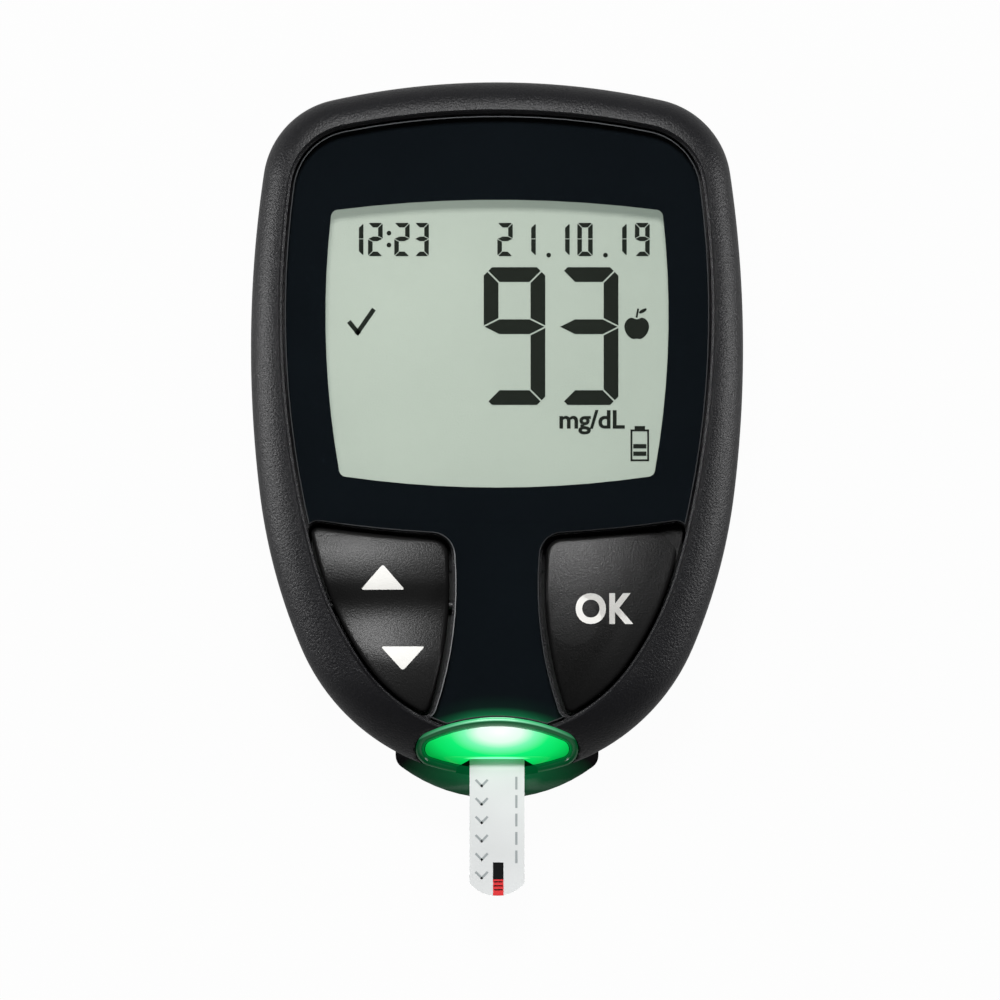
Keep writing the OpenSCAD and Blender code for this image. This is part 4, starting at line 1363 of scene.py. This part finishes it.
@dataclass
class TestStrip:
    """The laminated test strip in the port."""

    tip_y: float = -51.85
    top_z: float = 10.72
    channel_x: float = 0.14
    channel_w: float = 1.2
    channel_y: float = -48.03
    reagent_y: float = -49.97

    def build(self) -> None:
        """Dresses the three layers and lays the sample channel and the print on them."""
        dress(STRIP_FILM, "strip_base", "strip_spacer", "strip_cover")
        channel = bmesh.new()
        self.band(channel, 0.0, self.reagent_y, self.channel_y)
        self.lay("sample_channel", channel, CHANNEL_INK, 0.02)
        reagent = bmesh.new()
        self.band(reagent, 0.0, self.tip_y + 0.04, self.reagent_y)
        self.lay("reagent_field", reagent, REAGENT, 0.02)
        lines = bmesh.new()
        for y in (-50.25, -50.7, -51.15):
            self.band(lines, 0.1, y - 0.07, y + 0.07)
        self.lay("reagent_lines", lines, CHANNEL_INK, 0.03)
        marks = bmesh.new()
        for k in range(6):
            y = -38.7 - 2.1 * k
            for x, side in ((-1.75, -1), (-1.75, 1)):
                draw_bar(marks, Vector((x, y - 0.62)), Vector((x + 0.6 * side, y)), 0.26)
            if k < 5:
                draw_bar(marks, Vector((2.2, y - 0.9)), Vector((2.2, y + 0.3)), 0.26)
        self.lay("strip_print", marks, STRIP_MARK, 0.015)

    def band(self, shape: bmesh.types.BMesh, inset: float, low: float, high: float) -> None:
        """Draws a rectangle across the channel as a flat face."""
        bmesh.ops.create_grid(
            shape,
            x_segments=1,
            y_segments=1,
            size=0.5,
            matrix=Matrix.Translation((self.channel_x, (low + high) / 2, 0.0))
            @ Matrix.Diagonal((self.channel_w - 2 * inset, high - low, 1.0, 1.0)),
        )

    def lay(self, name: str, shape: bmesh.types.BMesh, finish: Finish, thickness: float) -> None:
        """Lays flat shapes on the strip as thin print."""
        thicken(shape, self.top_z - 0.005, thickness)
        finish_piece(name, shape, finish.build(), Body.STRIP)


@dataclass
class Circuit:
    """The main board and what is soldered to it."""

    def build(self) -> None:
        """Dresses the board and its parts."""
        dress(SOLDER_MASK, "main_board")
        dress(EPOXY, "microcontroller", "buzzer")
        dress(TIN_CAN, "radio_module", "clock_crystal")
        dress(GILT, "radio_antenna")
        dress(CERAMIC, "chip_parts")


@dataclass
class Studio:
    """The floor, the lamps, the world and the camera."""

    centre: tuple[float, float] = (0.34, -6.72)
    view_height: float = 1499.0
    focal_length: float = 470.0
    # How much of the floor is white of its own, as the camera and as gloss and glass see it
    white_seen: float = 0.97
    white_in_gloss: float = 0.15
    # Where the lamps aim
    aim: tuple[float, float, float] = (0.0, 0.0, 12.0)
    # Each lamp: place, width and height, and radiance
    lamps: tuple[tuple[tuple[float, float, float], tuple[float, float], float], ...] = (
        ((-40.0, 480.0, 900.0), (340.0, 260.0), 42.0),
        ((-420.0, 6.0, 120.0), (70.0, 240.0), 31.0),
        ((420.0, 6.0, 120.0), (70.0, 240.0), 26.0),
    )

    def build(self) -> None:
        """Sets up the stage."""
        self.build_camera()
        self.build_floor()
        self.build_lamps()
        self.build_world()

    def build_camera(self) -> None:
        """Looks straight down on the meter, as the photograph does."""
        lens = bpy.data.cameras.new("camera")
        lens.lens = self.focal_length
        lens.sensor_width = 36.0
        lens.clip_start = 0.05
        lens.clip_end = 10.0
        camera = bpy.data.objects.new("camera", lens)
        camera.location = (self.centre[0] * MM, self.centre[1] * MM, self.view_height * MM)
        bpy.context.scene.collection.objects.link(camera)
        bpy.context.scene.camera = camera

    def build_floor(self) -> None:
        """Lays a white floor that shows as white and keeps the meter's shadow."""
        shape = bmesh.new()
        bmesh.ops.create_grid(shape, x_segments=1, y_segments=1, size=2.0)
        mesh = bpy.data.meshes.new("floor")
        shape.to_mesh(mesh)
        shape.free()
        floor = bpy.data.objects.new("floor", mesh)
        floor.location.z = -0.02 * MM
        bpy.context.scene.collection.objects.link(floor)
        material, tree = new_material("white paper")
        place = add_node(tree, "TexCoord").outputs["Object"]
        fibre = add_node(tree, "TexNoise", inputs={"Vector": place, "Scale": 1800.0, "Detail": 3.0})
        bump = add_node(tree, "Bump", inputs={"Height": fibre.outputs["Fac"], "Distance": 0.00002})
        paper = add_node(
            tree,
            "BsdfPrincipled",
            inputs={"Base Color": linear("#9A9A9A"), "Roughness": 0.9, "Normal": bump.outputs["Normal"]},
        )
        white = add_node(tree, "Emission", inputs={"Color": (1, 1, 1, 1), "Strength": 1.0})
        seen = self.seen(tree, paper.outputs["BSDF"], white.outputs["Emission"])
        # From below the floor is clear, so that the back of the meter can be looked at
        clear = add_node(tree, "BsdfTransparent")
        below = add_node(tree, "NewGeometry").outputs["Backfacing"]
        one_sided = add_node(tree, "MixShader", inputs={0: below, 1: seen, 2: clear.outputs["BSDF"]})
        add_node(tree, "OutputMaterial", inputs={"Surface": one_sided.outputs["Shader"]})
        mesh.materials.append(material)

    def seen(
        self, tree: bpy.types.NodeTree, lit: bpy.types.NodeSocket, white: bpy.types.NodeSocket
    ) -> bpy.types.NodeSocket:
        """Mixes white into what the camera, gloss and glass see, and leaves what lights the meter.

        Args:
            tree: The node tree.
            lit: The surface or room that lights the meter.
            white: The white that is seen.

        Returns:
            The mixed shader.
        """
        path = add_node(tree, "LightPath")
        gloss = add_node(
            tree,
            "Math",
            {"operation": "ADD", "use_clamp": True},
            {0: path.outputs["Is Glossy Ray"], 1: path.outputs["Is Transmission Ray"]},
        )
        dimmed = add_node(tree, "Math", {"operation": "MULTIPLY"}, {0: gloss.outputs["Value"], 1: self.white_in_gloss})
        amount = add_node(
            tree,
            "Math",
            {"operation": "MULTIPLY_ADD", "use_clamp": True},
            {0: path.outputs["Is Camera Ray"], 1: self.white_seen, 2: dimmed.outputs["Value"]},
        )
        mixed = add_node(tree, "MixShader", inputs={0: amount.outputs["Value"], 1: lit, 2: white})
        return mixed.outputs["Shader"]

    def build_lamps(self) -> None:
        """Places the soft boxes so that together they light white about as white."""
        for place, (width, height), radiance in self.lamps:
            away = Vector(place) - Vector(self.aim)
            light = bpy.data.lights.new("soft box", "AREA")
            light.shape = "RECTANGLE"
            light.size = width * MM
            light.size_y = height * MM
            light.energy = radiance * math.pi * light.size * light.size_y
            lamp = bpy.data.objects.new("soft box", light)
            lamp.location = Vector(place) * MM
            lamp.rotation_euler = away.to_track_quat("Z", "Y").to_euler()
            lamp.visible_camera = False
            bpy.context.scene.collection.objects.link(lamp)

    def build_world(self) -> None:
        """Makes a room that is pale near the floor and dark overhead, and white behind everything."""
        world = bpy.data.worlds.new("studio")
        world.use_nodes = True
        bpy.context.scene.world = world
        tree = world.node_tree
        tree.nodes.clear()
        place = add_node(tree, "TexCoord").outputs["Generated"]
        axes = add_node(tree, "SeparateXYZ", inputs={"Vector": place})
        shade = add_node(tree, "ValToRGB", inputs={"Fac": axes.outputs["Z"]})
        ramp(shade, [(0.0, (0.12, 0.12, 0.12, 1)), (0.3, (0.05, 0.05, 0.05, 1)), (0.75, (0.01, 0.01, 0.01, 1))])
        room = add_node(tree, "Background", inputs={"Color": shade.outputs["Color"], "Strength": 1.0})
        add_node(tree, "OutputWorld", inputs={"Surface": room.outputs["Background"]})


def main() -> None:
    """Loads the frame, builds the meter around it and sets up the studio."""
    logging.basicConfig(level=logging.INFO, format="%(name)s: %(message)s")
    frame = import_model()
    FRAME_NODES.update(frame["nodes"])
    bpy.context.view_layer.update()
    bpy.context.scene.view_settings.view_transform = "Standard"
    for part in (Housing(), BatteryBay(), Lens(), Display(), Keys(), Port(), TestStrip(), Circuit(), Studio()):
        LOG.info("building %s", type(part).__name__)
        part.build()


if __name__ == "__main__":
    main()
